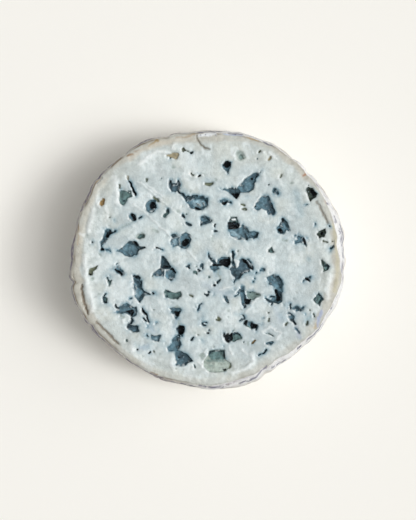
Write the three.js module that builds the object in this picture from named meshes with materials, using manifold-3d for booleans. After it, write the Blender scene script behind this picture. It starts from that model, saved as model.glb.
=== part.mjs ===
// A round of natural-rind blue cheese: the end of a drum, cut straight across and
// lying on its own rinded base with the cut face up. One solid of one piece.
// Millimetres, +Z up. The origin is the middle of the base.
import * as THREE from 'three';
import { mergeVertices } from 'three/addons/utils/BufferGeometryUtils.js';
import Module from 'manifold-3d';

const wasm = await Module();
wasm.setup();

// The drum.
const HEIGHT = 48; // base to cut face
const LOWER_EDGE = 8; // rounding of the drum's lower edge
const RIM_ROUND = 1.2; // drop of the cut face at its very edge
const BELLY_AT = 0.52; // where the wall stands out most, as a share of the height
const SEGMENTS = 96; // steps round the drum

// The widest reach of the wall, every 15 degrees counter-clockwise from +X.
const WALL_REACH = [
  67.6, 69.0, 67.2, 66.0, 65.2, 64.8, 63.9, 64.1, 66.1, 66.6, 67.2, 66.9,
  67.5, 68.9, 67.0, 64.4, 63.3, 63.4, 64.4, 65.1, 64.5, 64.1, 66.6, 68.2,
];
// How far that is outside the edge of the cut face, at the same angles.
const WALL_OVERHANG = [
  4.0, 4.0, 2.7, 2.2, 2.2, 2.7, 3.0, 2.2, 1.9, 1.7, 1.6, 1.6,
  1.6, 1.6, 1.7, 1.8, 1.8, 1.9, 2.6, 4.0, 3.8, 2.8, 3.5, 2.5,
];

// Unevenness of the rind and of the cut face near it.
const WRINKLE = 0.45; // the rind's swells and folds
const RIDGE_IN = 8; // from the edge in to the pressed-up ridge of the paste
const RIDGE_RISE = 0.7;
const BAND_IN = 3.6; // from the edge in to the inner side of the crust

// The eyes are open pits. A row is one lobe: x, y, length, width, turn in degrees
// and depth. Lobes that cross make one eye.
const EYES = [
  // Far side of the face.
  [-17.0, 51.0, 4.2, 3.4, 0, 1.4], [9.8, 46.0, 5.2, 4.0, 80, 4.5], [16.5, 51.0, 4.6, 3.8, 0, 1.2],
  [-37.0, 36.0, 10.0, 1.8, -65, 2.6], [-43.2, 35.5, 3.0, 1.6, 90, 2.0], [-41.0, 29.8, 7.0, 4.2, 82, 2.4],
  [-51.5, 28.2, 3.8, 2.6, 60, 1.8], [-16.0, 36.0, 6.2, 5.0, 15, 2.8], [-12.3, 31.8, 5.5, 1.8, -45, 2.2],
  [-5.5, 27.6, 11.0, 5.2, 0, 2.0], [-27.4, 26.0, 5.2, 5.0, 0, 3.8], [0.8, 37.0, 4.6, 2.0, 0, 1.8],
  [21.8, 39.8, 9.0, 4.6, 52, 3.2], [13.2, 32.3, 6.4, 4.6, 20, 4.0], [51.0, 32.3, 6.2, 4.4, 78, 4.6],
  [25.8, 28.2, 7.2, 3.0, 52, 3.0], [30.4, 26.6, 8.0, 3.2, -58, 3.0], [33.3, 33.2, 3.4, 3.2, 0, 1.6],
  [9.2, 28.0, 3.6, 3.0, 0, 3.0],
  // Left of the middle.
  [-37.2, 21.0, 4.6, 3.8, 80, 3.4], [-50.6, 10.6, 5.8, 2.2, 55, 3.0], [-51.3, 4.8, 2.4, 2.0, 0, 2.6],
  [-38.0, 5.2, 9.2, 6.0, 15, 3.0], [-32.5, 11.0, 3.6, 3.4, 0, 2.0], [-20.0, 22.4, 5.4, 1.8, 60, 2.0],
  [-13.2, 9.6, 9.4, 6.6, 0, 2.6], [-10.7, 8.3, 4.2, 4.0, 0, 5.0], [-2.0, 19.2, 4.8, 3.6, -20, 2.2],
  [-20.7, -1.6, 5.2, 4.4, 0, 3.2], [-24.3, -6.8, 5.6, 2.6, 10, 2.6], [-17.8, -7.0, 5.2, 4.8, 0, 2.8],
  [-43.0, -6.2, 4.8, 2.0, -45, 3.0], [-48.6, -10.8, 4.4, 2.2, -75, 2.2], [-56.2, -5.5, 5.8, 2.0, 48, 2.4],
  [-50.4, -19.2, 5.4, 2.4, 80, 3.0], [-35.0, -10.4, 6.6, 3.8, -65, 3.0], [-33.4, -17.0, 9.0, 3.8, -85, 3.4],
  [-17.0, -17.4, 8.2, 3.6, 0, 1.8],
  // Right of the middle.
  [12.8, 17.2, 5.4, 4.4, 0, 4.6], [15.6, 12.8, 9.4, 5.6, -15, 2.6], [22.6, 12.0, 5.4, 3.2, 0, 2.4],
  [38.4, 18.0, 8.4, 3.0, -56, 3.2], [35.5, 14.8, 3.2, 3.0, 0, 4.2], [46.6, 9.6, 7.8, 2.8, -55, 3.2],
  [55.8, 12.8, 4.4, 3.6, 0, 4.4], [52.6, 2.4, 10.6, 2.8, 62, 3.6], [58.0, -3.6, 4.2, 3.2, 0, 1.6],
  [8.3, -1.5, 6.0, 4.2, 10, 4.6], [3.4, -4.6, 4.4, 3.2, -10, 2.4], [4.9, -10.0, 6.0, 2.0, -80, 2.8],
  [12.7, -0.4, 6.4, 2.2, 90, 3.0], [16.4, -4.2, 9.0, 8.0, 0, 3.0], [19.8, -2.3, 7.6, 2.6, -46, 5.0],
  [32.4, -10.6, 7.4, 4.6, -32, 3.4], [34.4, -15.6, 8.8, 4.2, -86, 4.4], [31.4, -19.6, 6.2, 3.0, 20, 3.0],
  [18.0, -17.0, 7.0, 2.4, -62, 3.0], [20.2, -20.3, 3.8, 3.2, 0, 4.6], [23.2, -16.6, 4.4, 2.2, -12, 2.2],
  [54.5, -19.4, 4.6, 4.2, 0, 1.6], [48.9, -9.8, 2.4, 2.2, 0, 3.0], [44.8, -24.0, 5.4, 2.2, 10, 3.0],
  [41.4, -29.4, 7.8, 2.6, -58, 3.0],
  // Near side of the face.
  [-41.2, -23.4, 6.2, 3.6, -10, 2.2], [-38.0, -25.7, 4.6, 3.2, 0, 4.6], [-37.0, -31.4, 7.4, 2.6, -84, 3.0],
  [-30.4, -26.8, 9.4, 2.0, -60, 2.6], [-15.2, -25.8, 4.0, 3.4, 0, 4.6], [-12.8, -34.5, 3.8, 3.4, 0, 5.0],
  [-16.0, -41.2, 6.8, 5.0, 80, 2.2], [-12.2, -47.6, 8.8, 6.6, 35, 2.4], [-28.4, -45.6, 2.8, 2.0, 0, 3.0],
  [-24.4, -38.7, 2.8, 2.4, 0, 2.6], [4.8, -50.0, 12.4, 9.4, -8, 1.8], [4.6, -46.9, 8.6, 4.0, -6, 3.0],
  [10.0, -38.3, 4.4, 4.2, 0, 4.6], [14.4, -38.0, 5.2, 4.8, 90, 2.2], [19.6, -31.2, 7.8, 2.8, -12, 4.4],
  [5.2, -29.5, 3.2, 2.2, 0, 1.6], [22.7, -40.5, 2.2, 2.0, 0, 3.0], [30.5, -40.8, 3.8, 1.8, 0, 2.2],
];
const LUMP = 0.1; // unevenness of a lobe, as a share of its size
const EYE_LIFT = 0.15; // a lobe's middle stands this far above the face
const LARGE_EYE = 9.3; // longer lobes get a finer ball

// Brown-lined grooves in the crust, as x, y along each.
const GROOVES = [
  [[-62.4, -11], [-61.2, -17], [-59.8, -22], [-58.2, -27]],
  [[-54, -31], [-51.5, -34], [-48.5, -37], [-43.5, -41]],
  [[53.5, 29], [56, 23], [58, 19], [59.5, 17]],
  [[-5, 59.4], [-4.3, 58], [-2.8, 56], [1, 54.3]],
];
const GROOVE_WIDTH = 1.6;
const GROOVE_DEPTH = 1.5;
const GROOVE_STEPS = 8;

const MERGE = 1e-4;
const FULL_TURN = 2 * Math.PI;

// A smooth closed curve through values spaced evenly round the drum.
function around(values, angle) {
  const count = values.length;
  const place = (((angle / FULL_TURN) % 1) + 1) % 1 * count;
  const start = Math.floor(place);
  const t = place - start;
  const [a, b, c, d] = [-1, 0, 1, 2].map((step) => values[(start + step + count) % count]);
  const bend = 2 * a - 5 * b + 4 * c - d + t * (3 * (b - c) + d - a);
  return b + 0.5 * t * (c - a + t * bend);
}

// The rind's folds: waves round the drum that lean as they go up it.
function wrinkle(angle, height) {
  const folds = Math.sin(11 * angle + 0.13 * height)
    + 0.8 * Math.sin(19 * angle - 0.21 * height + 1.7)
    + 0.6 * Math.sin(31 * angle + 0.34 * height + 0.6);
  return WRINKLE * folds / 2;
}

// How much of the ridge stands at an angle, from none to all of it.
function ridgeShare(angle) {
  return 0.5 + 0.3 * Math.sin(3 * angle + 0.4) + 0.2 * Math.sin(7 * angle + 2.1);
}

// A ring of the skin is a function of the angle that gives its radius and height.
function wallRing(share, height) {
  return (angle) => {
    const overhang = around(WALL_OVERHANG, angle) * (1 - share);
    const radius = around(WALL_REACH, angle) - overhang + wrinkle(angle, height);
    return [radius, height];
  };
}

function lowerEdgeRing(turn) {
  const inward = LOWER_EDGE * (1 - Math.sin(turn));
  const height = LOWER_EDGE * (1 - Math.cos(turn));
  return (angle) => {
    const fade = Math.sin(turn);
    return [around(WALL_REACH, angle) - inward - 0.4 + fade * wrinkle(angle, height), height];
  };
}

function faceRing(inward, lift) {
  return (angle) => {
    const edge = around(WALL_REACH, angle) - around(WALL_OVERHANG, angle);
    return [edge - inward, HEIGHT + lift(angle)];
  };
}

// Rings from the middle of the base, up the wall and in to the middle of the cut face.
function skinRings() {
  const belly = HEIGHT * BELLY_AT;
  const centre = (height) => () => [0, height];
  return [
    centre(0),
    lowerEdgeRing(0),
    lowerEdgeRing(Math.PI / 8),
    lowerEdgeRing(Math.PI / 4),
    lowerEdgeRing(Math.PI * 3 / 8),
    wallRing(0.9, LOWER_EDGE + 2),
    wallRing(1, belly - 7),
    wallRing(1, belly),
    wallRing(0.9, belly + 8),
    wallRing(0.6, HEIGHT - 7),
    wallRing(0.25, HEIGHT - RIM_ROUND - 1.6),
    faceRing(-0.1, () => -RIM_ROUND),
    faceRing(RIM_ROUND, () => -0.2),
    faceRing(BAND_IN, (angle) => 0.3 * ridgeShare(angle + 1)),
    faceRing(RIDGE_IN, (angle) => RIDGE_RISE * ridgeShare(angle)),
    faceRing(RIDGE_IN + 5, () => 0),
    centre(HEIGHT),
  ];
}

// A closed, oriented manifold solid from one of three.js's geometries.
function solid(geometry) {
  geometry.deleteAttribute('normal');
  geometry.deleteAttribute('uv');
  const merged = mergeVertices(geometry, MERGE);
  const corners = merged.index.array;
  const triVerts = [];
  for (let i = 0; i < corners.length; i += 3) {
    const [a, b, c] = corners.slice(i, i + 3);
    if (a !== b && b !== c && c !== a) triVerts.push(a, b, c);
  }
  return new wasm.Manifold(new wasm.Mesh({
    numProp: 3,
    vertProperties: new Float32Array(merged.attributes.position.array),
    triVerts: new Uint32Array(triVerts),
  }));
}

// A turned body whose rings are then moved out to the drum's uneven outline.
function drum() {
  const rings = skinRings();
  const profile = rings.map((ring) => new THREE.Vector2(...ring(0)));
  const geometry = new THREE.LatheGeometry(profile, SEGMENTS);
  const position = geometry.attributes.position;
  for (let i = 0; i < position.count; i += 1) {
    const segment = Math.floor(i / rings.length) % SEGMENTS;
    const angle = segment / SEGMENTS * FULL_TURN;
    const [radius, height] = rings[i % rings.length](angle);
    position.setXYZ(i, radius * Math.cos(angle), radius * Math.sin(angle), height);
  }
  return solid(geometry);
}

function eyeLobe([x, y, length, width, turn, depth], number) {
  const ball = new THREE.IcosahedronGeometry(1, length > LARGE_EYE ? 2 : 1);
  const position = ball.attributes.position;
  const point = new THREE.Vector3();
  for (let i = 0; i < position.count; i += 1) {
    point.fromBufferAttribute(position, i);
    const swell = Math.sin(5 * point.x + 3 * point.y + number) * Math.cos(4 * point.z - number);
    point.multiplyScalar(1 + LUMP * swell);
    position.setXYZ(i, point.x, point.y, point.z);
  }
  ball.scale(length / 2, width / 2, depth);
  ball.rotateZ(THREE.MathUtils.degToRad(turn));
  ball.translate(x, y, HEIGHT + EYE_LIFT);
  return solid(ball);
}

// A diamond-shaped bar that is swept along the groove, just above and below the face.
function groove(route) {
  const path = new THREE.CatmullRomCurve3(route.map(([x, y]) => new THREE.Vector3(x, y, HEIGHT + 0.3)));
  const section = new THREE.Shape([
    new THREE.Vector2(-GROOVE_DEPTH - 0.3, 0),
    new THREE.Vector2(0, -GROOVE_WIDTH / 2),
    new THREE.Vector2(GROOVE_DEPTH, 0),
    new THREE.Vector2(0, GROOVE_WIDTH / 2),
  ]);
  const options = { steps: GROOVE_STEPS, extrudePath: path, bevelEnabled: false };
  return solid(new THREE.ExtrudeGeometry(section, options));
}

function cheeseGeometry() {
  const hollows = [...EYES.map(eyeLobe), ...GROOVES.map(groove)];
  const cut = hollows.reduce((rest, hollow) => rest.subtract(hollow), drum());
  const mesh = cut.getMesh();
  const geometry = new THREE.BufferGeometry();
  geometry.setAttribute('position', new THREE.BufferAttribute(mesh.vertProperties, mesh.numProp));
  geometry.setIndex(new THREE.BufferAttribute(mesh.triVerts, 1));
  geometry.computeBoundingBox();
  const middle = geometry.boundingBox.getCenter(new THREE.Vector3());
  geometry.translate(-middle.x, -middle.y, 0);
  return geometry;
}

const paste = new THREE.MeshStandardMaterial({ color: 0xc6d1d2, roughness: 0.55, metalness: 0 });
const cheese = new THREE.Mesh(cheeseGeometry(), paste);
cheese.name = 'cheese';

const round = new THREE.Group();
round.add(cheese);

export default round;
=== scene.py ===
"""A cut round of natural-rind blue cheese on a pale floor, seen from straight above."""

import itertools
import math

import bpy
import numpy as np
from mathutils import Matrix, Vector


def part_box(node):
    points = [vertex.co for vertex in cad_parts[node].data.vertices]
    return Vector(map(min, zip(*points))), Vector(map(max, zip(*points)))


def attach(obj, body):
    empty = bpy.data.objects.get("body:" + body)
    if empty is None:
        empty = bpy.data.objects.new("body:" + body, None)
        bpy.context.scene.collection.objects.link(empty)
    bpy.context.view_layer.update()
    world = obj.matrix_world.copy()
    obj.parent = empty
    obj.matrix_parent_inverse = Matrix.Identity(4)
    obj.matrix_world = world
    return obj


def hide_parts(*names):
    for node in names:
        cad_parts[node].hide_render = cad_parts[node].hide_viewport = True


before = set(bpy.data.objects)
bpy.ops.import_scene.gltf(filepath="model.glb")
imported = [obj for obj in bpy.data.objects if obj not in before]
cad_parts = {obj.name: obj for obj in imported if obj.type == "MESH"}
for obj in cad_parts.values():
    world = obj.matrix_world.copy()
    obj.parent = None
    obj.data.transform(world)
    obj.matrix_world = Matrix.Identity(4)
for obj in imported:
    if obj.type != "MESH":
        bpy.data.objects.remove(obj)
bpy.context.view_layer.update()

# Sizes are in millimetres until the mesh and the camera are made.
MM = 0.001

# The drum: the same named sizes as the solid.
HEIGHT = 48.0
LOWER_EDGE = 8.0
RIM_ROUND = 1.2
BELLY_AT = 0.52
WALL_REACH = (
    67.6, 69, 67.2, 66, 65.2, 64.8, 63.9, 64.1, 66.1, 66.6, 67.2, 66.9,
    67.5, 68.9, 67, 64.4, 63.3, 63.4, 64.4, 65.1, 64.5, 64.1, 66.6, 68.2,
)
WALL_OVERHANG = (
    4, 4, 2.7, 2.2, 2.2, 2.7, 3, 2.2, 1.9, 1.7, 1.6, 1.6,
    1.6, 1.6, 1.7, 1.8, 1.8, 1.9, 2.6, 4, 3.8, 2.8, 3.5, 2.5,
)
WRINKLE = 0.45
RIDGE_IN = 8.0
RIDGE_RISE = 0.7
BAND_IN = 3.6

# How far the paste sinks toward the cut edge, and how far in the lower edge starts.
RIM_DROP = 0.3
LOWER_INSET = 0.4

# How far the ridge falls off behind its top, how far under the rim the wrinkles start,
# and how far down, over what length and to what share the raggedness of the edge fades.
RIDGE_BACK = 5
WRINKLE_FADE = 4
RAGGED_DOWN = 34
RAGGED_FADE = 16
RAGGED_LEAST = 0.25

# The beige crust inside the cut edge: its width and strength every 15 degrees from +X.
BAND_WIDTH = (
    3.4, 3, 3.2, 2.6, 2.8, 3.2, 4.4, 4.8, 4.2, 3.6, 3, 3.2,
    4.2, 5.4, 4.4, 3.6, 3.2, 3.4, 3.4, 3.2, 3.6, 3.6, 4, 5.2,
)
BAND_STRENGTH = (
    1, 0.85, 0.8, 0.9, 0.8, 0.65, 0.8, 0.9, 0.8, 0.65, 0.6, 0.85,
    1, 1, 0.8, 0.65, 0.55, 0.45, 0.5, 0.5, 0.4, 0.6, 0.75, 1,
)

# The wall under the cut edge every 15 degrees from +X: 1 is dark violet, violet mould
# with painted shade on the side away from the lamps; -1 is white, bloom with painted light
# on the side toward them.
WALL_SHADED_SIDE = (
    -1, -1, -1, -0.8, -0.8, -0.9, -0.5, 0.5, 1, 1, 1, 1,
    1, 0.9, 0.9, 1, 1, 0.6, -0.8, -1, -1, -1, -1, -1,
)

# Strength of the thin brown line along the cut edge, every 15 degrees from +X.
EDGE_BROWN = (
    0.1, 0.2, 0.2, 0.2, 0.4, 0.4, 0.7, 1, 1.1, 1, 0.8, 1,
    0.8, 1, 0.8, 0.4, 0.3, 0.5, 0.4, 0.2, 0.2, 0.2, 0.2, 0.2,
)

# Violet and grey lines and dots along the cut edge and the wall: stations x, y and radius.
WALL_MARKS = (
    ((65.4, 17.6, 0.1), (66.9, 12, 0.15), (67.5, 6, 0.1), (67.1, 1, 0.1)),
    ((64.9, 15.4, 0.05), (65.9, 9.6, 0.1), (66, 6.4, 0.05)),
    ((67, -2, 0.1), (66.6, -5.6, 0.05)),
    ((58.6, 27.6, 0.3),),
    ((62.2, 21, 0.1), (63.4, 18, 0.1)),
    ((15.8, -61.1, 0.1), (19.4, -60.2, 0.15), (23, -58.4, 0.25), (27, -54.9, 0.1), (28.8, -51.9, 0.1)),
    ((31.6, -53.2, 0.1), (35, -51.6, 0.15), (38.5, -49.1, 0.1)),
    ((44.4, -43.9, 0.2), (46.2, -42.5, 0.3)),
    ((49, -40.2, 0.1), (53.4, -35.8, 0.15), (56.2, -31.6, 0.05)),
    ((59.8, -25.8, 0.1), (61.6, -22.2, 0.1)),
    ((-12.8, -61, 0.1), (-9.6, -62.4, 0.15), (-7, -62.8, 0.2)),
    ((-4.6, -61.6, 0.15), (-1.3, -62.2, 0.1), (2.4, -62.9, 0.2), (8, -63, 0.1)),
    ((-4.2, 62.2, 0.1), (-1.6, 62.8, 0.2), (1.8, 62.6, 0.2), (5.6, 62.4, 0.15)),
    ((-3.4, 61.2, 0.2),),
    ((-1.2, 61, 0.15),),
    ((4.2, 60.9, 0.2),),
    ((13.8, 61.6, 0.3),),
    ((10, 62.2, 0.1), (17.4, 61.4, 0.1)),
    ((27.4, 57.6, 0.1), (31.6, 55.6, 0.15)),
)

# Where the cut edge flares out over the wall: turn and width in degrees, reach.
FLARES = (
    (114, 26, 1.3),
    (88, 16, 0.9),
    (56, 20, 1),
    (238, 16, 0.9),
    (330, 7, 1.3),
    (353, 5, 1.5),
    (11, 7, -0.6),
)

# Notches between the lobes of the rind, and lobes as notches less than nothing deep:
# turn and width in degrees, depth.
NOTCHES = (
    (186, 3.6, -1),
    (189.6, 1.2, 1.3),
    (193, 3, -0.5),
    (207, 4, -0.5),
    (10, 2.5, -0.8),
    (336, 4, 0.8),
    (59, 4, -0.6),
    (108.7, 1.4, 0.7),
    (209.6, 1.6, 0.7),
    (143, 1.2, 0.5),
    (297, 2.2, 0.7),
    (80, 1.4, 0.4),
    (41, 1.5, 0.4),
    (0, 4, -1.2),
    (144, 6, -1.1),
    (163, 5, -1),
    (198, 3, -0.7),
    (304, 4, 1.1),
)

# Radius at which the raggedness of the cut edge is sampled.
EDGE_RADIUS = 65.0

# Mesh steps.
FACE_RINGS = 128
RIM_RINGS = 6
WALL_RINGS = 25
WALL_STEPS = 420
EDGE_RINGS = 7
EDGE_STEPS = 320
BASE_RINGS = 10
LEAST_STEPS = 12
SHARP_FROM = 50.0

# Walls of the eyes: their width seen from above, how close to the top or the foot of a
# wall a point must be to move onto it, how close counts as on it, a step to feel which
# way the wall lies, and the least steepness that counts.
WALL_WIDTH = 0.36
SNAP = 0.17
ON_CONTOUR = 0.04
STEP = 0.05
LEAST_STEEP = 0.5

# How much wider than its outline or chain each eye is, and the limit of the distances.
OUTLINE_GROWTH = 0.15
CHAIN_GROWTH = 0.08
FAR = 5.0

# Pin-prick eyes: how many, the scatter round the named eyes and of their own far ends,
# their kinds and radius, and how far from the middle they reach.
SPECK_SEED = 7
SPECK_COUNT = 120
SPECK_SCATTER = 3.6
SPECK_LENGTH = 0.5
SPECK_KINDS = ("faint", "slate", "faint", "olive", "green", "slate")
SPECK_RADIUS = (0.02, 0.2)
SPECK_REACH = 57.0

# Layers of noise: the strength, size and seed of each.
EDGE_NOISE = ((0.28, 5.0, 11), (0.16, 1.9, 12))
WARP_ACROSS = ((0.28, 2.6, 21), (0.36, 1.2, 22))
WARP_ALONG = ((0.28, 2.6, 23), (0.36, 1.2, 24))
FACE_SWELLS = ((0.16, 9.0, 31), (0.10, 4.0, 32), (0.06, 1.8, 33))
BAND_CHANGE = ((0.9, 4.0, 34),)
BAND_STRENGTH_CHANGE = ((0.25, 6.0, 44),)
CRUST_MOTTLES = ((0.08, 2.2, 48),)
EDGE_LINE_CHANGE = ((1.1, 4.0, 35),)
LIP_CHANGE = ((1.6, 2.0, 37),)
CRUMBS = ((1.0, 1.3, 47),)
HAZE_CLOUDS = ((0.7, 5.0, 36), (0.4, 1.7, 45))
DEPTH_CHANGE = ((0.25, 2.2, 38), (0.15, 0.9, 39))
LINING_CHANGE = ((0.35, 2.6, 40), (0.4, 1.1, 46))
PASTE_PATCHES = ((0.045, 11.0, 41), (0.07, 4.5, 42), (0.085, 1.9, 43))
PASTE_CREAM = ((1.4, 7.0, 61),)
PASTE_SMEARS = ((1.0, 4.5, 62), (0.5, 2.0, 63), (0.35, 0.9, 64))
RIND_FOLDS = ((1.0, 11.0, 51), (0.3, 4.0, 54))
RIND_SWELLS = ((0.40, 12.0, 52), (0.18, 4.5, 53), (0.1, 2.4, 55))
CREASE_CHANGE = ((1.0, 9.0, 56),)

# The paste: how far in from the edge its colour changes, the shares of cream and of pale
# smears, where the smears start and over what range they grow, and the squeeze that makes
# them longer along Y.
NEAR_RIND_IN = 18.0
NEAR_RIND_FADE = 14.0
CREAM_SHARE = 0.35
SMEAR_SHARE = 0.6
SMEAR_FADE = (0.15, 0.5)
SMEAR_STRETCH = (1.0, 0.6, 1.0)

# The crust's soft inner side, and the brown line near the cut edge: how far in, how wide,
# its mean strength and its greatest.
CRUST_SOFTNESS = 2.2
EDGE_LINE_IN = 0.55
EDGE_LINE_WIDTH = 0.35
EDGE_LINE_MEAN = 0.7
EDGE_LINE_MOST = 1.2

# Softness of the violet marks, of the grooves and of the bits of paste in the eyes.
MARK_SOFTNESS = 0.5
GROOVE_SOFTNESS = 0.7
ISLAND_SOFTNESS = 0.5

# How far a soft cover has come at the outline of its own shape: 0 is none, 1 is whole.
HALF = 0.5
RIDGE_AT_EDGE = 0.6
MARK_AT_EDGE = 0.8
LINING_AT_EDGE = 0.3

# Shares of painted highlight white on the ridges and of violet in the marks.
RIDGE_PAINTED_HIGHLIGHT = 0.6
MARK_SHARE = 0.9

# The blue haze: the kinds of eye that have it, its fade away from them, its mean and its
# share.
HAZE_KINDS = ("slate", "deep", "dark", "black")
HAZE_FADE = 0.9
HAZE_MEAN = 0.65
HAZE_SHARE = 0.85

# The lips of the eyes, with a painted highlight on their side toward the light: the step
# toward the light that finds that side and its slant, where the painted bright line runs and
# how wide, its mean and its share of white, and how far the paste sinks at them.
LIP_STEP = 0.6
LIP_SLANT = 0.2
LIP_AT = 0.3
LIP_WIDTH = 0.45
LIP_MEAN = 0.85
LIP_PAINTED_HIGHLIGHT = 0.95
LIP_SINK = 0.3

# Linings that vary little in colour, by what share, and how wide the faint ones' walls are.
EVEN_KINDS = ("faint", "straw", "pale", "sage")
EVEN_SHARE = 0.3
FAINT_REACH = 1.0

# Bits of paste in the eyes: how much they hide the lining, fill the eye and whiten it.
ISLAND_HIDES = 0.9
ISLAND_FILLS = 0.85
ISLAND_WHITE = 0.6

# Crumbs: where their noise starts and over what range they grow, how near to a wall they
# lie, their share where an eye is dark, and their share beside the bits of paste.
CRUMB_FADE = (0.42, 0.2)
CRUMB_NEAR_WALL = (-1.3, 0.6)
CRUMBS_IN_DARK = 0.2
CRUMB_SHARE = 0.75

# The rind's folds: their squeeze, and the width, depth and mean of the creases.
RIND_STRETCH = (0.7, 0.7, 1.6)
CREASE_WIDTH = 0.14
CREASE_DEPTH = 0.6
CREASE_MEAN = 0.7

# Fades on the wall, each with its start and its length: the rind's colour and the painted
# shade and light of the wall's sides below the cut face, and that painted shade and light and
# the marks above the base. The last is the length over which the swells grow at both ends of
# the wall.
RIND_FADE = (0.5, 0.6)
SHADED_SIDE_TOP_FADE = (0.6, 0.8)
SHADED_SIDE_LOW_FADE = (24.0, 18.0)
MARK_LOW_FADE = (22.0, 6.0)
WALL_FADE = 3.0

# Patterns of the materials: the cloud's size, detail, roughness, distortion and stretch,
# then the range of it that shows and the values at the ends of that range.
PATTERNS = {
    "grey": ((24,), (0.4, 0.6)),
    "tan": ((17, 5, 0.6), (0.56, 0.68, 0.0, 0.7)),
    "blue": ((15, 6, 0.62, 0.3, (1, 1, 1.3)), (0.56, 0.7, 0.0, 0.75)),
    "bloom": ((8, 6, 0.68, 0.2), (0.42, 0.58, 0.12, 0.88)),
    # Patches of the violet painted shade on the wall's shaded side.
    "shaded_side": ((4, 5, 0.65), (0.42, 0.54, 0.1, 1.0)),
    "powder": ((1.3, 4, 0.7), (0.35, 0.65, 0.9, 1.05)),
    "arcs": ((3.4, 5, 0.62, 0.4, (0.22, 0.22, 1.0)), (0.55, 0.62, 0.0, 0.85)),
    "creases": ((2.5, 4), (0.42, 0.56, 0.1, 0.7)),
    "specks": ((2.6, 3), (0.68, 0.74, 0.0, 0.75)),
    "paste": ((2.2, 5, 0.65), (0.3, 0.7, 0.895, 1.065)),
    "mould": ((1.4, 4, 0.6), (0.3, 0.7, 0.78, 1.3)),
    "flecks": ((1.7, 4, 0.7, 0.5), (0.55, 0.66)),
    "glints": ((1.1, 4, 0.65), (0.6, 0.68)),
}

# Shares of white, painted light on the wall's lit side, and of violet, painted shade on its
# shaded side, and of flecks and glints.
WHITE_LIT_SHARE = 0.95
VIOLET_SHADE_SHARE = 0.85
FLECK_SHARE = 0.75
GLINT_SHARE = 0.5

# Arcs on the rind: the range of the painted shade and light value that they need, and their
# strength from the lit white side to the shaded violet one.
ARCS_NEED = (0.1, 0.7)
ARCS_BY_SIDE = (-0.3, 0.3, 0.35, 1.0)

# Roughness of the moist paste and of the dry mould and rind, and other surface settings.
ROUGHNESS = (0.34, 0.85)
CHEESE_SURFACE = {
    "Specular IOR Level": 0.45,
    "Subsurface Weight": 0.1,
    "Subsurface Radius": (1.0, 0.9, 0.8),
    "Subsurface Scale": 0.0012,
}
FLOOR_SURFACE = {"Roughness": 0.9, "Specular IOR Level": 0.1}

# Fine and coarse relief: its cloud, then its strength on the face and on the rind.
RELIEFS = (((0.9, 4), (0.45, 0.7)), ((2.8, 5), (0.9, 2.6)))
BUMP_STRENGTH = 0.75
BUMP_DEPTH = 0.0006

# The picture: its frame at the cut face, and the camera straight above.
FRAME_TALL = 254.8
FRAME_OFFSET = (0.25, -0.25)
CAMERA_ABOVE = 1250.0
SENSOR = 36.0

# The side of the floor, in metres.
FLOOR_SIZE = 6.0

# Light: a window on the right as soft suns, a shadowless fill and a pale surround.
# Each sun and the fill: azimuth, elevation and strength.
KEYS = (
    (-6.0, 74.0, 0.44),
    (-10.0, 63.0, 0.70),
    (-6.0, 52.0, 0.68),
    (-20.0, 48.0, 0.32),
    (14.0, 46.0, 0.24),
    (26.0, 36.0, 0.12),
)
KEY_SPREAD = 16.0
FILL = (160.0, 75.0, 0.4)
SURROUND_STRENGTH = 0.2
SURROUND_COLOUR = (1.0, 0.99, 0.97, 1.0)


def colour(red, green, blue):
    """A screen colour, 0 to 255, as linear light."""
    screen = np.array((red, green, blue)) / 255.0
    return np.where(screen <= 0.04045, screen / 12.92, ((screen + 0.055) / 1.055) ** 2.4)


PASTE = colour(195, 207, 208)
PASTE_NEAR_RIND = colour(198, 206, 203)
CREAM = colour(214, 216, 205)
SMEAR = colour(226, 235, 235)
CRUST = colour(190, 188, 177)
CRUST_LINE = colour(116, 98, 78)
# White of bits of paste, and also the painted highlight on ridges and lips.
WHITE_PASTE_AND_HIGHLIGHT = colour(244, 249, 248)
BLUE_HAZE = colour(108, 152, 169)
HAZE_FLECK = colour(92, 118, 134)
MOULD_GLINT = colour(176, 196, 206)
MARK = colour(102, 102, 126)
RIND_BEIGE = colour(226, 220, 208)
RIND_GREY = colour(196, 190, 182)
RIND_TAN = colour(188, 160, 120)
RIND_BLUE = colour(146, 154, 170)
RIND_BLOOM = colour(243, 243, 240)
# The wall's sides: white bloom with painted light where lit, violet mould with painted shade where
# shaded.
RIND_WHITE_LIT = colour(249, 250, 251)
RIND_VIOLET_SHADE = colour(104, 96, 120)
RIND_ARC = colour(112, 106, 136)
RIND_CREASE = colour(140, 124, 132)
RIND_SPECK = colour(122, 104, 108)
FLOOR_COLOUR = colour(247, 245, 239)

# Linings of the eyes: colour, depth, and the width of the soft edge of the colour.
# Later kinds lie over earlier ones.
LININGS = {
    "faint": ((160, 173, 168), 0.3, 1.4),
    "straw": ((150, 141, 116), 0.8, 0.6),
    "pale": ((166, 178, 170), 1.2, 0.4),
    "sage": ((120, 140, 136), 1.3, 0.7),
    "tan": ((158, 132, 86), 1.5, 0.4),
    "olive": ((104, 110, 90), 1.4, 0.4),
    "green": ((92, 118, 117), 1.7, 0.4),
    "slate": ((88, 117, 129), 2, 0.4),
    "mist": ((142, 168, 178), 1.8, 0.8),
    "deep": ((70, 93, 104), 2.3, 0.4),
    "moss": ((56, 68, 58), 2.4, 0.4),
    # The dark and black linings are dark mould together with painted shade: the shadow deep in the
    # holes and where the walls of the eyes shade their floors.
    "dark": ((56, 79, 88), 2.6, 0.4),
    "black": ((7, 15, 20), 4.2, 0.4),
}
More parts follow.
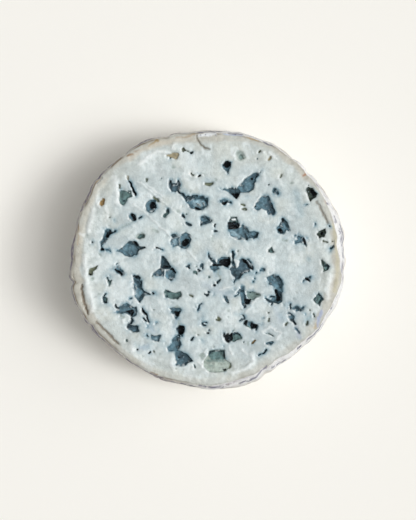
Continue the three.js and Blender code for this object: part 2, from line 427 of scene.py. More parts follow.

# Eyes in the cut face: the lining, then either the stations x, y and radius that it runs
# through or the corners x and y of its outline.
# Many dark and black chains run along one side of a lighter eye: painted shade where its wall shades
# its floor.
EYES = (
    # Far side.
    ("slate", (24.6, 42.9), (22.4, 42.3), (19.8, 40.6), (17.8, 38.6), (15.2, 36), (14, 34.6),
     (16.5, 32.6), (20, 33), (22.4, 34.6), (23.4, 36.6), (23.4, 38.9), (24.8, 41)),
    ("deep", (22.6, 41, 1), (24, 41.4, 0.7)),
    ("dark", (25.4, 42.7, 0.15), (26.2, 43.7, 0.15)),
    ("dark", (24.4, 41.8, 0.4), (23.6, 39.6, 0.3)),
    ("black", (21.7, 39.6, 0.6)),
    ("slate", (6.4, 34.6), (9.5, 34.4), (12, 34.8), (12.4, 32.6), (10.8, 33), (9, 33.7)),
    ("dark", (10.4, 34.9), (11.6, 34.6), (12, 35.8), (12.7, 34.8), (13.5, 35.4), (14, 34.5),
     (15.2, 34.8), (16.2, 33.2), (15, 30.5), (14, 29.6), (12.4, 30.4), (11, 33)),
    ("black", (12.4, 31.6, 0.8), (14.6, 31.6, 1.1), (13.8, 30.2, 0.6)),
    ("slate", (7.4, 46.4), (9, 48.3), (11.6, 47.6), (11.8, 45.4), (9.9, 42.2), (7.7, 45.2)),
    ("black", (7.5, 46.3), (8.6, 48), (10.6, 48.2), (11.7, 46.6), (10.8, 45.2), (9, 45)),
    ("faint", (15.6, 52, 1.8), (16.6, 50.2, 2.2)),
    ("sage", (15.8, 51, 0.6), (16.6, 50.1, 0.9)),
    ("olive", (17.7, 49.4, 0.4)),
    ("olive", (25.2, 52.4, 0.6), (25.8, 53.2, 0.5)),
    ("straw", (30.2, 49.4, 0.8), (30.9, 50.1, 0.7)),
    ("olive", (36.1, 40.2, 0.5), (36.4, 41.4, 0.4)),
    ("green", (30.3, 36.5, 0.5)),
    ("faint", (41.2, 37.2, 0.9)),
    ("slate", (33, 33.8, 1.3), (33.7, 32.8, 1.4)),
    ("dark", (33.2, 34.6, 0.6), (32.2, 33.2, 0.4)),
    ("straw", (-19.6, 51, 0.7), (-17.6, 51.2, 1.1), (-15.4, 50.8, 1.5)),
    ("dark", (-18.4, 49.9, 0.4)),
    ("faint", (-16.6, 45.5, 1)),
    ("olive", (-12.1, 53.9, 0.9), (-10.8, 53.6, 0.3), (-9.2, 52.9, 0.25)),
    ("black", (-8.4, 52.5, 0.4), (-7.9, 52.3, 0.5)),
    ("olive", (-7.9, 42.3, 0.5), (-6.8, 41.6, 0.4)),
    ("black", (-4.9, 40.8, 0.35), (-3.7, 40.9, 0.6)),
    ("olive", (-0.8, 37, 0.5), (0.9, 37, 0.9), (2.5, 37.4, 0.6)),
    ("faint", (4.2, 39, 0.8)),
    ("olive", (-29.7, 38.4, 0.5), (-29.7, 39.2, 0.5)),
    ("deep", (-18.8, 38.9), (-17.4, 37.4), (-15.4, 37.2), (-14.2, 39.3), (-13.2, 37), (-14, 34),
     (-15.4, 32.8), (-17.4, 33.3), (-18.7, 35.4)),
    ("dark", (-18.3, 38, 0.4), (-17.4, 37, 0.3)),
    ("dark", (-14.2, 38.5, 0.3), (-13.8, 37, 0.3)),
    ("dark", (-14, 33.3, 0.5), (-12.3, 32, 0.6), (-10.9, 30.5, 0.5), (-7.5, 30.9, 0.4),
     (-5.2, 31, 0.5)),
    ("faint", (-8.2, 33.7, 0.7)),
    ("slate", (-11, 29.6), (-9, 30.6), (-6, 31.2), (-2, 30.6), (0, 29.6), (0.1, 26), (-1.6, 24.7),
     (-5, 24.2), (-8, 25.3), (-9.6, 27)),
    ("dark", (-10.4, 29.6, 0.3), (-7, 30, 0.4), (-4, 30.1, 0.4), (-1.4, 29.6, 0.5), (-0.2, 27.6, 0.4)),
    ("dark", (-0.6, 26.2, 0.3), (-2.6, 25.2, 0.3)),
    ("black", (-5.9, 25.1, 0.6), (-3.8, 24.7, 0.3)),
    ("mist", (-6.8, 29), (-3.4, 29.2), (-1.4, 28), (-1.2, 26.4), (-3.6, 25.8), (-6.6, 26.4),
     (-7.6, 27.4)),
    ("slate", (-30.3, 26.6), (-29, 28.6), (-26, 29.4), (-25, 26.4), (-26.4, 23.4), (-28.6, 22.9),
     (-30, 24.2)),
    ("black", (-28.2, 26.4), (-27.4, 28.2), (-25.6, 27.8), (-25.2, 25.6), (-26.6, 24.8), (-27.8, 25.2)),
    ("olive", (-26.1, 30.4, 0.7), (-24.9, 29.2, 0.7), (-23.9, 28.1, 0.5)),
    ("green", (-19.2, 24.6, 0.4), (-19.5, 22.8, 0.9), (-21.4, 20.9, 0.7)),
    ("dark", (-19.3, 24.5, 0.3), (-19, 23.2, 0.4)),
    ("green", (-10.2, 22.2, 0.5)),
    ("dark", (-12.2, 21.5, 0.9), (-11.5, 20.7, 0.7)),
    ("faint", (-14.3, 24, 0.9)),
    ("dark", (-10.2, 17.8, 0.5), (-8.5, 17, 0.7)),
    ("slate", (-3.6, 19.4), (-3, 21), (-1.7, 21.5), (0.4, 20.7), (2.4, 18.4), (0.9, 18.3),
     (-0.5, 17.4), (-2.9, 16.6)),
    ("dark", (-2.9, 20.6, 0.4), (-0.8, 20.7, 0.4), (0.4, 19.2, 0.4), (-2.9, 17.4, 0.5)),
    ("dark", (3.4, 16.3, 0.4), (3.8, 17.4, 0.4)),
    ("dark", (3.3, 13.9, 0.45), (4.5, 13.8, 0.4)),
    ("faint", (2.1, 10.4, 0.5), (2.5, 9, 0.5)),
    ("slate", (6.2, 28.6, 0.4), (7.9, 28.4, 0.9), (9.6, 28.7, 0.8), (11.1, 28, 0.5)),
    ("black", (8.2, 27.3, 0.8), (9.2, 28.5, 0.5)),
    ("olive", (16.6, 26.9, 0.6), (18.2, 26.4, 0.6)),
    ("olive", (16.9, 24.5, 0.4), (18.9, 24.6, 0.5)),
    ("moss", (30.2, 4, 0.3)),
    ("slate", (22.7, 25.3), (25.5, 29.5), (26.5, 31.2), (30, 31), (31.2, 29), (33.3, 23.3),
     (32.5, 22.1), (29.5, 22.2), (29, 24.3), (26.4, 24.6), (24, 23.8)),
    ("deep", (29.2, 30.2), (31, 29), (33.1, 23.4), (32.3, 22.4), (29.9, 22.6), (29.4, 24.8),
     (28.2, 27.6)),
    ("dark", (32.2, 26, 0.2), (32.9, 23.4, 0.3)),
    ("black", (23.4, 26, 0.5)),
    ("slate", (10.2, 15.8), (11.3, 11.4), (14.5, 9.8), (19.5, 9.7), (20.6, 12), (19.5, 15),
     (17.5, 17), (15.5, 15.2)),
    ("slate", (19.8, 10.4), (24.6, 10.6), (25.1, 13), (22.5, 13.6), (20.3, 13.4)),
    ("mist", (10.9, 14), (13.4, 13.8), (15.4, 12.2), (16.6, 10.8), (14.6, 10.6), (11.8, 12)),
    ("dark", (17.9, 13, 0.4), (19.3, 10.4, 0.7)),
    ("dark", (21.4, 11.2, 0.4), (24.2, 11.3, 0.6), (24.5, 13, 0.4)),
    ("green", (11.4, 20.4, 0.5), (14.3, 20.6, 0.4), (14.6, 18.8, 0.4), (11.2, 19, 0.5),
     (11.4, 20.4, 0.5)),
    ("black", (10.2, 15), (10.2, 18), (12.5, 18.6), (15.3, 18.2), (15.3, 15.4), (12.8, 14.8)),
    ("slate", (36.4, 20.8), (38.6, 18.4), (39.8, 16.6), (40.5, 14), (38.4, 14.6), (37.4, 12.8),
     (34.6, 12.8), (34, 15.4), (35.2, 17.4), (36.2, 18.4)),
    ("dark", (36.8, 19.8, 0.7), (38.4, 17.9, 0.7), (39.4, 15.9, 0.5)),
    ("black", (35.2, 14.5, 0.9), (36.4, 13.8, 0.8)),
    ("black", (36.5, 20.1, 0.3), (37.2, 18.8, 0.4)),
    ("slate", (44.5, 12.6), (45.4, 10.8), (47.3, 10.1), (48.8, 6.2), (46.8, 7.6), (45, 8.6),
     (42.8, 8.5), (44.2, 9.9)),
    ("slate", (43.3, 8.7, 0.7), (45.2, 9.2, 0.8)),
    ("black", (46.9, 9.6, 0.6), (47.6, 8, 0.6)),
    ("slate", (48.9, 10.8, 0.3), (49.4, 9.4, 0.4)),
    ("faint", (37, 9.8, 0.8), (38.8, 9.5, 0.8)),
    ("moss", (48.4, 34.4), (49.4, 35.8), (51.6, 34.8), (53.6, 32), (53.3, 30.3), (51.2, 29.9),
     (50.2, 28.4), (49.3, 31)),
    ("black", (50.9, 33.6, 0.8), (52.2, 32.2, 1)),
    ("olive", (49.3, 36.4, 0.4)),
    ("moss", (53.5, 12.4), (55, 14.2), (57.5, 15), (58.3, 13.2), (57.4, 11.2), (55.8, 11),
     (54.8, 9.8), (54.3, 11.6)),
    ("black", (56.2, 12.5, 0.9)),
    ("black", (59.8, 16.4, 0.5)),
    ("olive", (57.2, 9.2, 0.5), (58.6, 8.2, 0.4)),
    ("olive", (61.2, 8.8, 0.5)),
    ("dark", (60.2, 5.6, 0.3), (61.6, 6.8, 0.4)),
    ("slate", (60, 4.2, 0.2)),
    ("green", (29.8, 3.6), (31.2, 7), (32.7, 3.6)),
    ("olive", (14.9, 3.9, 0.5)),
    ("faint", (6.7, 6.3, 0.6)),
    # Left of the middle.
    ("olive", (-43.2, 36.6, 0.4), (-43.2, 34.9, 0.5)),
    ("straw", (-39, 41, 0.2), (-38.3, 39.2, 0.5)),
    ("black", (-38, 38.2, 0.4), (-36.9, 35.6, 0.6), (-36, 33.6, 0.7), (-35.2, 31.6, 0.5)),
    ("green", (-43, 33.2), (-41, 33.8), (-39.3, 33.2), (-37.4, 30.6), (-39.5, 29.8), (-40.2, 27.2),
     (-42.1, 26.4), (-43.3, 29)),
    ("green", (-39.4, 31.7, 1), (-37.6, 31.4, 0.8), (-37.7, 33.4, 0.4), (-39, 33.8, 0.4)),
    ("dark", (-41, 28.4, 0.6)),
    ("tan", (-50.8, 30), (-50, 28.9), (-50.8, 27), (-52.2, 26.4), (-53, 27.2), (-52.2, 28.9)),
    ("slate", (-38.6, 21.8), (-37.4, 22.6), (-35.4, 21.8), (-35, 19.4), (-36.6, 19), (-38.4, 20)),
    ("black", (-36.8, 21.6, 0.8), (-35.9, 20, 0.8)),
    ("dark", (-33.9, 20.3, 0.4), (-32.6, 21, 0.5)),
    ("faint", (-36.4, 18.8, 0.4), (-40.5, 16.4, 0.5), (-43.5, 14.6, 0.4)),
    ("slate", (-50.4, 13.8), (-49.4, 15), (-47.4, 14.6), (-46.4, 13), (-48.6, 11.4), (-50, 8.2),
     (-52, 6.6), (-52.2, 8.6), (-51, 11.4)),
    ("dark", (-50, 14.4, 0.3), (-49.2, 12.8, 0.5), (-50.6, 10.2, 0.3)),
    ("dark", (-46.6, 13.4, 0.3), (-44.8, 14.2, 0.2)),
    ("black", (-47.6, 13.5, 0.9), (-48.8, 11.8, 0.7)),
    ("black", (-51.5, 4.8, 0.8)),
    ("dark", (-51.7, 7.6, 0.2), (-51.6, 5, 0.4)),
    ("slate", (-50.3, 4.9, 0.4), (-48.3, 5, 0.3), (-47.6, 3.9, 0.3)),
    ("faint", (-52.8, 2.8, 0.7)),
    ("dark", (-56.4, 8.4, 0.45)),
    ("faint", (-59, 12.2, 0.7)),
    ("olive", (-47.5, 21, 0.25)),
    ("slate", (-44.2, 4.5), (-41.5, 6.2), (-40, 7.6), (-38.2, 8.9), (-35.6, 9), (-33.6, 7),
     (-33.2, 5.2), (-34.6, 2.6), (-37.5, 1.4), (-40.6, 2.1)),
    ("dark", (-38.6, 7.9, 0.6), (-36.2, 7.9, 0.8), (-34.6, 6.6, 0.8), (-33.9, 5.6, 0.7),
     (-30.4, 6, 0.4)),
    ("black", (-35.7, 8.2, 0.6), (-34.6, 7, 0.5)),
    ("faint", (-34, 11.2, 1.4), (-32, 11.8, 1.6)),
    ("green", (-33.6, 10.4, 0.7), (-32.6, 11.8, 0.8), (-31.6, 11.6, 0.7)),
    ("dark", (-32.8, 12.2, 0.25)),
    ("faint", (-24.8, 13.8, 0.9), (-26.6, 14.6, 0.7)),
    ("slate", (-17.9, 9), (-16.8, 11.4), (-14.6, 11.6), (-12.4, 12.6), (-10.6, 13.5), (-8.7, 12.1),
     (-7.9, 9.6), (-8.8, 6.7), (-10.8, 5.3), (-13, 5.8), (-14.6, 6.7), (-16.6, 6.3)),
    ("dark", (-17.2, 11.6, 0.5), (-15.2, 11.9, 0.4)),
    ("black", (-10.9, 8, 1.8), (-10.3, 8.6, 1.6)),
    ("mist", (-17.4, 10.2), (-15.4, 9.8), (-14.4, 7.2), (-16.2, 6.8), (-17.2, 8.6)),
    ("black", (-25.1, 5.9, 0.4), (-24.2, 5.5, 0.4)),
    ("dark", (-23.6, 5.2, 0.25), (-22.3, 4.5, 0.2)),
    ("faint", (-5.9, 10.1, 0.5)),
    ("dark", (-22.3, 1.8), (-20.9, 1), (-18.8, -1.8), (-17.9, -3.3), (-19.4, -5), (-23.1, -4.3),
     (-23.1, -1)),
    ("black", (-21.8, -3.6, 0.5), (-19.6, -3.6, 0.7)),
    ("deep", (-27.4, -7.4), (-23.3, -4.7), (-21.5, -5.3), (-21.5, -8.2), (-24, -8.1)),
    ("slate", (-20.7, -7.5), (-19.8, -4.7), (-17.5, -4), (-15, -6.5), (-16.3, -9.3), (-18.2, -10.4),
     (-20.1, -8.9)),
    ("black", (-18.1, -4.5, 0.45), (-16.3, -5.6, 0.5), (-15.3, -6.5, 0.35)),
    ("slate", (-10.4, -3.8, 0.4), (-9, -3, 0.4)),
    ("dark", (-9.2, -4.2, 0.6)),
    ("black", (-8.9, -4.4, 0.3)),
    ("dark", (-4.9, -4.3, 0.3), (-4.2, -5.8, 0.6), (-3.3, -5.8, 0.3)),
    ("green", (-6.4, -6.2, 0.8), (-5.2, -7.2, 0.5)),
    ("slate", (-3.6, -3.4, 0.5), (-2.4, -2.6, 0.6), (-2.4, -4.2, 0.4)),
    ("faint", (-16.3, -1.2, 0.7)),
    ("slate", (-45.8, -3.8), (-44.2, -3), (-41.8, -4.8), (-40.6, -7.2), (-41.8, -8.2), (-44.6, -6.4)),
    ("black", (-45, -5, 0.5), (-43.4, -6, 0.7), (-42.2, -7.4, 0.4)),
    ("faint", (-46.4, -4.6, 0.4)),
    ("green", (-49.2, -9.2, 0.5), (-48.2, -10.8, 0.6), (-48, -12.6, 0.3), (-47.2, -10.4, 0.4)),
    ("dark", (-49.3, -9.1, 0.4), (-48.5, -10.3, 0.3)),
    ("olive", (-57.5, -7, 0.9), (-56.8, -5.4, 1.1), (-55, -4.1, 0.7), (-54, -3, 0.4)),
    ("black", (-57.7, -7.3, 0.5)),
    ("faint", (-56.4, -9.5, 1.2)),
    ("green", (-50.2, -19.4, 1.1), (-49.9, -21, 0.8)),
    ("dark", (-49.9, -17, 0.4), (-51.2, -18.8, 0.5), (-50.8, -20.6, 0.5), (-49.7, -21.3, 0.5)),
    ("faint", (-53.5, -16.8, 0.7)),
    ("dark", (-36.2, -7.9, 0.4), (-34.6, -8.6, 0.8), (-33.4, -9.2, 0.5)),
    ("slate", (-36.6, -8.8), (-33.4, -9.4), (-32.5, -13), (-30.5, -15.9), (-28.2, -17.6),
     (-31, -17.4), (-31.6, -19), (-33, -21.6), (-34.3, -20), (-35.8, -17), (-36.4, -13)),
    ("dark", (-35.8, -10.4, 0.6), (-34.2, -11.6, 0.9), (-33.2, -13.4, 0.9), (-31.2, -15.6, 0.6),
     (-28.1, -17.5, 0.3)),
    ("dark", (-32.4, -10.4, 0.5), (-32.7, -12.6, 0.5)),
    ("dark", (-31.7, -17.6, 0.9), (-33, -18.4, 0.6), (-33.4, -20.6, 0.5)),
    ("black", (-35, -8.6, 0.5)),
    ("mist", (-35.2, -15.4), (-34.2, -15), (-33.8, -17.4), (-34.4, -18.8), (-35.2, -17.6)),
    ("dark", (-26.7, -16.4, 0.6)),
    ("olive", (-26.3, -24.7, 0.4)),
    ("green", (-21.2, -16), (-20.4, -14.7), (-18.8, -15.3), (-17, -16.6), (-13, -15.5),
     (-12.8, -17.7), (-15, -19.5), (-18.6, -18.9), (-20.8, -18.1)),
    ("dark", (-19.4, -15.4, 0.5), (-18.6, -16.2, 0.4)),
    ("dark", (-20, -18, 0.5)),
    ("olive", (-8.8, -17.4, 0.5), (-7.4, -18, 0.6)),
    # Right of the middle.
    ("slate", (0.3, 2.6, 0.4), (1.2, 0.6, 0.6), (2.6, -1, 0.8), (3.6, -2, 0.7)),
    ("dark", (0.6, 2, 0.3), (1.6, -0.2, 0.4), (3.2, -1.8, 0.5)),
    ("slate", (1.6, -3.2), (4.6, -2.8), (5.2, -4.8), (2.8, -5.8), (1.6, -4.8)),
    ("slate", (4.6, -2.6, 0.4), (5.2, -0.4, 0.7), (6.8, 0.7, 0.7), (9.8, 0.6, 0.7)),
    ("black", (2.5, -2.8, 0.4), (3.6, -2.6, 0.6), (5.4, -2.4, 0.4)),
    ("black", (5.8, -0.6), (5.7, -3), (8, -3.3), (10, -4.1), (11.3, -1), (10.8, 0.7), (8.5, 0.5)),
    ("faint", (4.8, -5.2, 0.6), (5.6, -7.2, 0.6), (6.3, -9.4, 0.6)),
    ("slate", (6.2, -9.8, 0.4), (4.8, -11.1, 0.5)),
    ("black", (3.4, -12.4, 0.6)),
    ("dark", (12.4, 3.9, 0.5), (12.4, 2.6, 0.6), (12.9, 0.8, 0.4), (12.4, -1.4, 0.5)),
    ("slate", (12.4, -1.4, 0.7), (12.8, -4, 1)),
    ("deep", (15.8, -0.3), (17, 0.8), (18.1, -0.6), (20.9, -3.8), (20.2, -5.7), (17.7, -6.5),
     (16.4, -8.7), (14.5, -10), (13.2, -8.6), (11.7, -7.4), (11.1, -4.9), (12.2, -3), (14, -4.3),
     (15.6, -3)),
    ("slate", (14.3, -9.6, 0.5), (13, -11.6, 0.3)),
    ("black", (17, 0.2, 0.5), (18.6, -1, 0.8), (20.2, -2.8, 0.6), (21.7, -4.5, 0.6)),
    ("slate", (19.6, 0, 0.3), (21.1, -1.6, 0.3), (22.3, -3.8, 0.3)),
    ("dark", (12.6, -4.6, 0.6), (13.2, -6.6, 0.5)),
    ("dark", (16, -7.2, 0.5), (15.2, -8.8, 0.5)),
    ("slate", (26, -5.6, 0.3), (27.6, -5, 0.7)),
    ("slate", (24, -6.4, 0.4)),
    ("dark", (23.1, -9.4, 0.4)),
    ("slate", (22.3, -10.7, 0.5)),
    ("green", (1, -8.5, 0.6)),
    ("slate", (28.9, -9), (31, -7.5), (32.3, -7), (34.7, -8.1), (36.2, -10), (37.1, -12.5),
     (36.6, -15), (36.8, -18), (36.2, -20.7), (34.5, -21.8), (32.4, -21.1), (30, -20.8), (32.1, -19),
     (33.3, -17.5), (32.7, -14.5), (32, -12.6), (30.2, -12.1), (29.7, -10)),
    ("dark", (32.4, -8, 0.5), (34.4, -9.2, 1), (35.7, -11.6, 1), (35.9, -13.6, 0.7)),
    ("dark", (33.6, -15.2, 0.6), (35, -16.6, 1.2), (35, -18.8, 1.6), (34, -20.2, 1.1)),
    ("black", (33.6, -15.2, 0.5), (34, -17.6, 0.8), (34.8, -19.2, 1.1)),
    ("dark", (33.2, -20.8, 0.6), (31, -20.9, 0.4), (29.4, -19.8, 0.3), (28, -18.7, 0.2)),
    ("dark", (32.6, -18.4, 0.4), (30.4, -18.5, 0.3)),
    ("slate", (31.2, -22.4, 0.4), (31.6, -21.2, 0.4)),
    ("slate", (16.9, -13.8, 0.6), (17.1, -16.6, 1.2), (17.6, -19, 1.3), (17.8, -21.6, 1.1),
     (18, -23.4, 0.5)),
    ("dark", (15.9, -15.2, 0.6), (17.2, -15.4, 0.6)),
    ("slate", (15.4, -15.6, 0.5), (14.5, -17, 0.6), (13.4, -18, 0.3)),
    ("sage", (19.6, -15.6), (24, -16.2), (26.2, -17.2), (22.5, -20.1), (21, -19.6), (19.4, -18)),
    ("dark", (20.4, -16.1, 0.3), (21, -16.6, 0.3)),
    ("dark", (22, -15.9, 0.25)),
    ("moss", (24.2, -17, 0.3), (25, -17.4, 0.2)),
    ("black", (18.2, -19.2), (21.5, -19.6), (20.6, -22.2), (18.9, -21.8)),
    ("slate", (7.8, -18.2, 0.4), (9, -19.4, 0.9), (10.2, -20.7, 0.6)),
    ("dark", (10, -21, 0.3), (10.9, -21.1, 0.2)),
    ("faint", (8.6, -19.2, 0.9)),
    ("green", (55.7, -0.2), (57.4, -1.2), (58.4, -2.2), (60.1, -3.3), (58.8, -5), (56.5, -6.1),
     (56.9, -3.6), (56, -1.6)),
    ("moss", (56.4, -0.9, 0.3), (57.4, -2.6, 0.3), (57, -5.2, 0.3), (58.2, -4.9, 0.2)),
    ("dark", (57.6, -2.8, 0.3), (59.6, -3.4, 0.5), (58.9, -4.6, 0.3)),
    ("black", (48.5, -9.5, 0.6), (49.3, -10, 0.7)),
    ("slate", (47.2, -10.3, 0.3), (50, -9, 0.4), (50.9, -8.5, 0.4)),
    ("green", (54.7, -15.9), (56.9, -19.5), (55.1, -22.6), (51.6, -20.1)),
    ("dark", (52.4, -19.4, 0.2), (54.6, -16.9, 0.3), (56.1, -19.2, 0.4), (55, -21.6, 0.3)),
    ("slate", (40.5, -21.8, 0.4), (40.7, -24, 0.5)),
    ("slate", (41.4, -23.6), (44, -22.9), (46.2, -23.8), (48, -23), (46.8, -25.2), (43.6, -25.6)),
    ("dark", (43, -23.8, 0.4), (44.4, -24.2, 0.7), (45.6, -24.6, 0.5)),
    ("olive", (50.5, -24.8, 0.5)),
    ("slate", (40.2, -26.8, 0.7), (41.4, -28.4, 1), (41.4, -30, 0.8)),
    ("dark", (41, -29.6, 0.5), (42.1, -30.6, 0.6), (43, -31.7, 0.6)),
    ("slate", (43.2, -33.4, 0.5), (44.8, -36, 0.4)),
    ("olive", (38, -32.2, 0.5), (39.2, -31.1, 0.4)),
    ("olive", (52.4, -26.6, 0.3), (52.5, -27.8, 0.4)),
    ("olive", (48.9, -30.4, 0.4), (48.6, -31.7, 0.5)),
    ("olive", (30, -25.8, 0.45)),
    ("olive", (30.1, -28.8, 0.4), (29.8, -30.3, 0.5)),
    # Near side.
    ("slate", (-45.1, -25.8), (-42.6, -22.3), (-39.5, -21.4), (-37.3, -23.4), (-34.9, -23.6),
     (-34.6, -26.7), (-37.2, -28.2), (-38.6, -27), (-41, -26), (-43, -26.6)),
    ("dark", (-44.9, -21.9, 0.4), (-44.7, -23.4, 0.4), (-43.4, -24, 0.4)),
    ("black", (-40.3, -25.4, 0.3), (-38.2, -25.8, 1), (-36.7, -25.3, 0.7), (-37.7, -27.5, 0.5)),
    ("dark", (-37, -28.8, 0.6), (-37.3, -31.2, 0.5)),
    ("deep", (-38.4, -31), (-37.2, -32.4), (-33.8, -32.4), (-33.6, -35.3), (-36.4, -35.8),
     (-39.5, -33.4)),
    ("dark", (-37.6, -33, 0.6), (-35.4, -32.8, 0.4), (-34.1, -33, 0.5), (-34.5, -35.2, 0.4)),
    ("faint", (-43.8, -25.6, 0.5), (-42.4, -27.4, 0.7), (-40.9, -28.5, 0.6)),
    ("slate", (-38.2, -19.2, 0.3), (-36.8, -18.6, 0.3)),
    ("black", (-32.2, -23.5, 0.3), (-31.5, -25.5, 0.6), (-30, -27, 0.4), (-29, -29, 0.4),
     (-28.3, -31.2, 0.3)),
    ("dark", (-31.3, -28.9, 0.4), (-30, -30.4, 0.4)),
    ("slate", (-25.2, -31.2, 0.5)),
    ("faint", (-15, -23.2, 1.1), (-13.4, -24.2, 0.5)),
    ("dark", (-17.4, -25.5, 0.45)),
    ("slate", (-18.2, -24), (-16.2, -23.6), (-13.6, -23.8), (-12.4, -24.8), (-14, -27.4),
     (-15.5, -29.2), (-16.6, -27)),
    ("black", (-16.4, -25.4), (-13, -25.2), (-14.6, -28), (-15.6, -27)),
    ("black", (-14.9, -34.2), (-13.6, -32.3), (-11.3, -32.9), (-11, -35.2), (-12.4, -36.7),
     (-14.5, -36.3)),
    ("faint", (-14.2, -30.4, 0.6), (-13.8, -32.2, 0.7)),
    ("dark", (-1.4, -17, 0.35), (-0.5, -17.6, 0.45), (0.6, -17.3, 0.3)),
    ("slate", (0.8, -15.9, 0.7)),
    ("slate", (-2.8, -21.3, 0.2), (-4.1, -23, 0.5), (-4.9, -24.2, 0.5)),
    ("dark", (-4.2, -23.2, 0.2), (-4.8, -24, 0.3)),
    ("dark", (-2.8, -31.6, 0.35), (-1.8, -32.3, 0.4), (-0.8, -32.4, 0.3)),
    ("slate", (-2, -30.7, 0.3), (-0.3, -30.8, 0.3)),
    ("black", (-0.6, -35.9, 0.4), (0.4, -36.3, 0.5)),
    ("slate", (0.6, -34.8, 0.5)),
    ("faint", (-6.2, -36, 0.7)),
    ("olive", (-4.2, -37.2, 0.4)),
    ("dark", (-8, -39.2, 0.4), (-6.9, -38.2, 0.45)),
    ("olive", (4.2, -29.4, 0.5), (5.8, -29.4, 0.7), (5, -28.2, 0.4)),
    ("faint", (10.4, -24.8, 0.7)),
    ("faint", (10.3, -28, 0.6)),
    ("faint", (16.2, -24.5, 0.6)),
    ("slate", (16.6, -27.4, 0.3), (18.2, -27.4, 0.4), (18.2, -29, 0.4), (15.7, -30, 0.4)),
    ("slate", (19.6, -31.2, 0.8), (21.2, -31.8, 1), (24.4, -33.2, 0.5), (23.7, -34.8, 0.3)),
    ("black", (18, -31, 0.7), (19.4, -30.2, 0.5)),
    ("black", (17.6, -31.2), (18.8, -29.9), (19.6, -30.3), (19, -32.2)),
    ("black", (21.8, -30.8), (25, -31.8), (23.6, -34), (21, -33.8), (21, -32.8)),
    ("green", (18.6, -30.4), (22.4, -30.6), (22, -33.2), (20.6, -33.6), (18.6, -32)),
    ("tan", (21.6, -41.2), (22.6, -39.2), (23.6, -39.2), (23.2, -41.4)),
    ("dark", (22, -40.9, 0.2)),
    ("faint", (19.6, -41, 1)),
    ("slate", (29.4, -41.2, 0.6), (30.8, -40.8, 0.8), (32, -40.3, 0.6)),
    ("dark", (29.6, -41.1, 0.3), (31, -40.8, 0.4)),
    ("dark", (29, -44.6, 0.5), (28, -45.5, 0.35), (26.5, -46.6, 0.35), (25, -46.9, 0.2)),
    ("green", (28.6, -35.7, 0.2), (31, -36.4, 0.25), (32.4, -37.6, 0.3)),
    ("green", (13, -38.4, 1.9), (14.6, -37.8, 2)),
    ("dark", (12.6, -36.4, 0.4), (14.4, -35.8, 0.4), (16.2, -36.9, 0.4)),
    ("black", (7.8, -35.8), (9, -37), (9.6, -36), (10.3, -37), (12, -35.8), (12.3, -39.2),
     (10.4, -41.2), (8.9, -39.9), (7.9, -38)),
    ("faint", (12.9, -34.4, 0.7)),
    ("slate", (-15.7, -37.4), (-13.8, -38.2), (-12.9, -41.5), (-14, -43), (-14.2, -45.5),
     (-16.5, -44.7), (-19.5, -44.5), (-19.6, -43.4), (-17.4, -41.4), (-17, -38.8)),
    ("dark", (-15.2, -38.4, 0.3), (-13.6, -41.3, 0.3), (-14.2, -43.8, 0.3)),
    ("dark", (-14.7, -37, 0.2), (-13, -37.4, 0.25), (-11.9, -37.5, 0.2)),
    ("slate", (-15.6, -44.7), (-12.5, -44.7), (-10, -46.7), (-6.4, -49.9), (-9.5, -50.5),
     (-10.5, -51.6), (-13, -52.2), (-15.3, -51.7), (-15.5, -48)),
    ("dark", (-12.6, -45.8, 0.5), (-10.6, -47.3, 0.9), (-8.9, -48.8, 0.7), (-7.3, -49.8, 0.4)),
    ("deep", (-14.8, -45.8), (-12.4, -45), (-9.8, -47), (-6.8, -49.8), (-9.6, -49.6), (-13.4, -49)),
    ("black", (-14, -48, 0.45)),
    ("faint", (-15.3, -53.4, 0.7)),
    ("green", (-7, -51.5, 0.2), (-6, -52.6, 0.5)),
    ("black", (-29.9, -37.2, 0.35), (-29.2, -37.8, 0.35)),
    ("slate", (-28.2, -37.3), (-24.9, -37.5), (-23.3, -36.8), (-23.3, -40.4), (-26, -39.9),
     (-27.3, -38.9)),
    ("mist", (-26.6, -38.7), (-24.6, -38.1), (-24.2, -39.2), (-26, -39.6)),
    ("dark", (-27.8, -37.5, 0.2), (-25.4, -37.6, 0.2)),
    ("dark", (-23.9, -38.2, 0.2), (-23.9, -39.8, 0.4)),
    ("green", (-39.4, -39.7, 0.6)),
    ("black", (-34.2, -44.2, 0.5)),
    ("black", (-28.9, -45.9, 0.5), (-28.2, -45.5, 0.6)),
    ("olive", (-26.3, -45, 0.5)),
    ("faint", (-31.8, -47.3, 0.6)),
    ("faint", (-23.6, -46, 0.5)),
    ("olive", (-43.2, -41.6, 0.4)),
    ("faint", (-2.6, -47.4, 1.7)),
    ("pale", (-2, -50), (0.2, -47.3), (1, -45), (3.5, -44.3), (8, -44.1), (8.9, -48.8), (11.1, -50.5),
     (11.6, -52.5), (9.5, -54.7), (7.5, -55.2), (1, -55.2), (-1.7, -52.5)),
    ("green", (0.4, -47.6), (1.1, -45.1), (3.5, -44.5), (7.9, -44.3), (8.7, -48.6), (5.4, -49),
     (2.4, -49.4)),
    ("dark", (0.9, -46.4, 0.4), (2.4, -45.2, 0.3), (7.8, -44.9, 0.3), (8.6, -48.2, 0.3)),
    ("sage", (0.2, -49.6, 0.5), (3.6, -49.8, 0.6), (8, -49.6, 0.5)),
    ("sage", (0.6, -51.4, 0.4), (2.4, -52.2, 0.4)),
    ("olive", (10.9, -50.8, 0.3), (11, -53.2, 0.4)),
    ("black", (8, -54.2, 0.5), (8.7, -54, 0.5)),
)

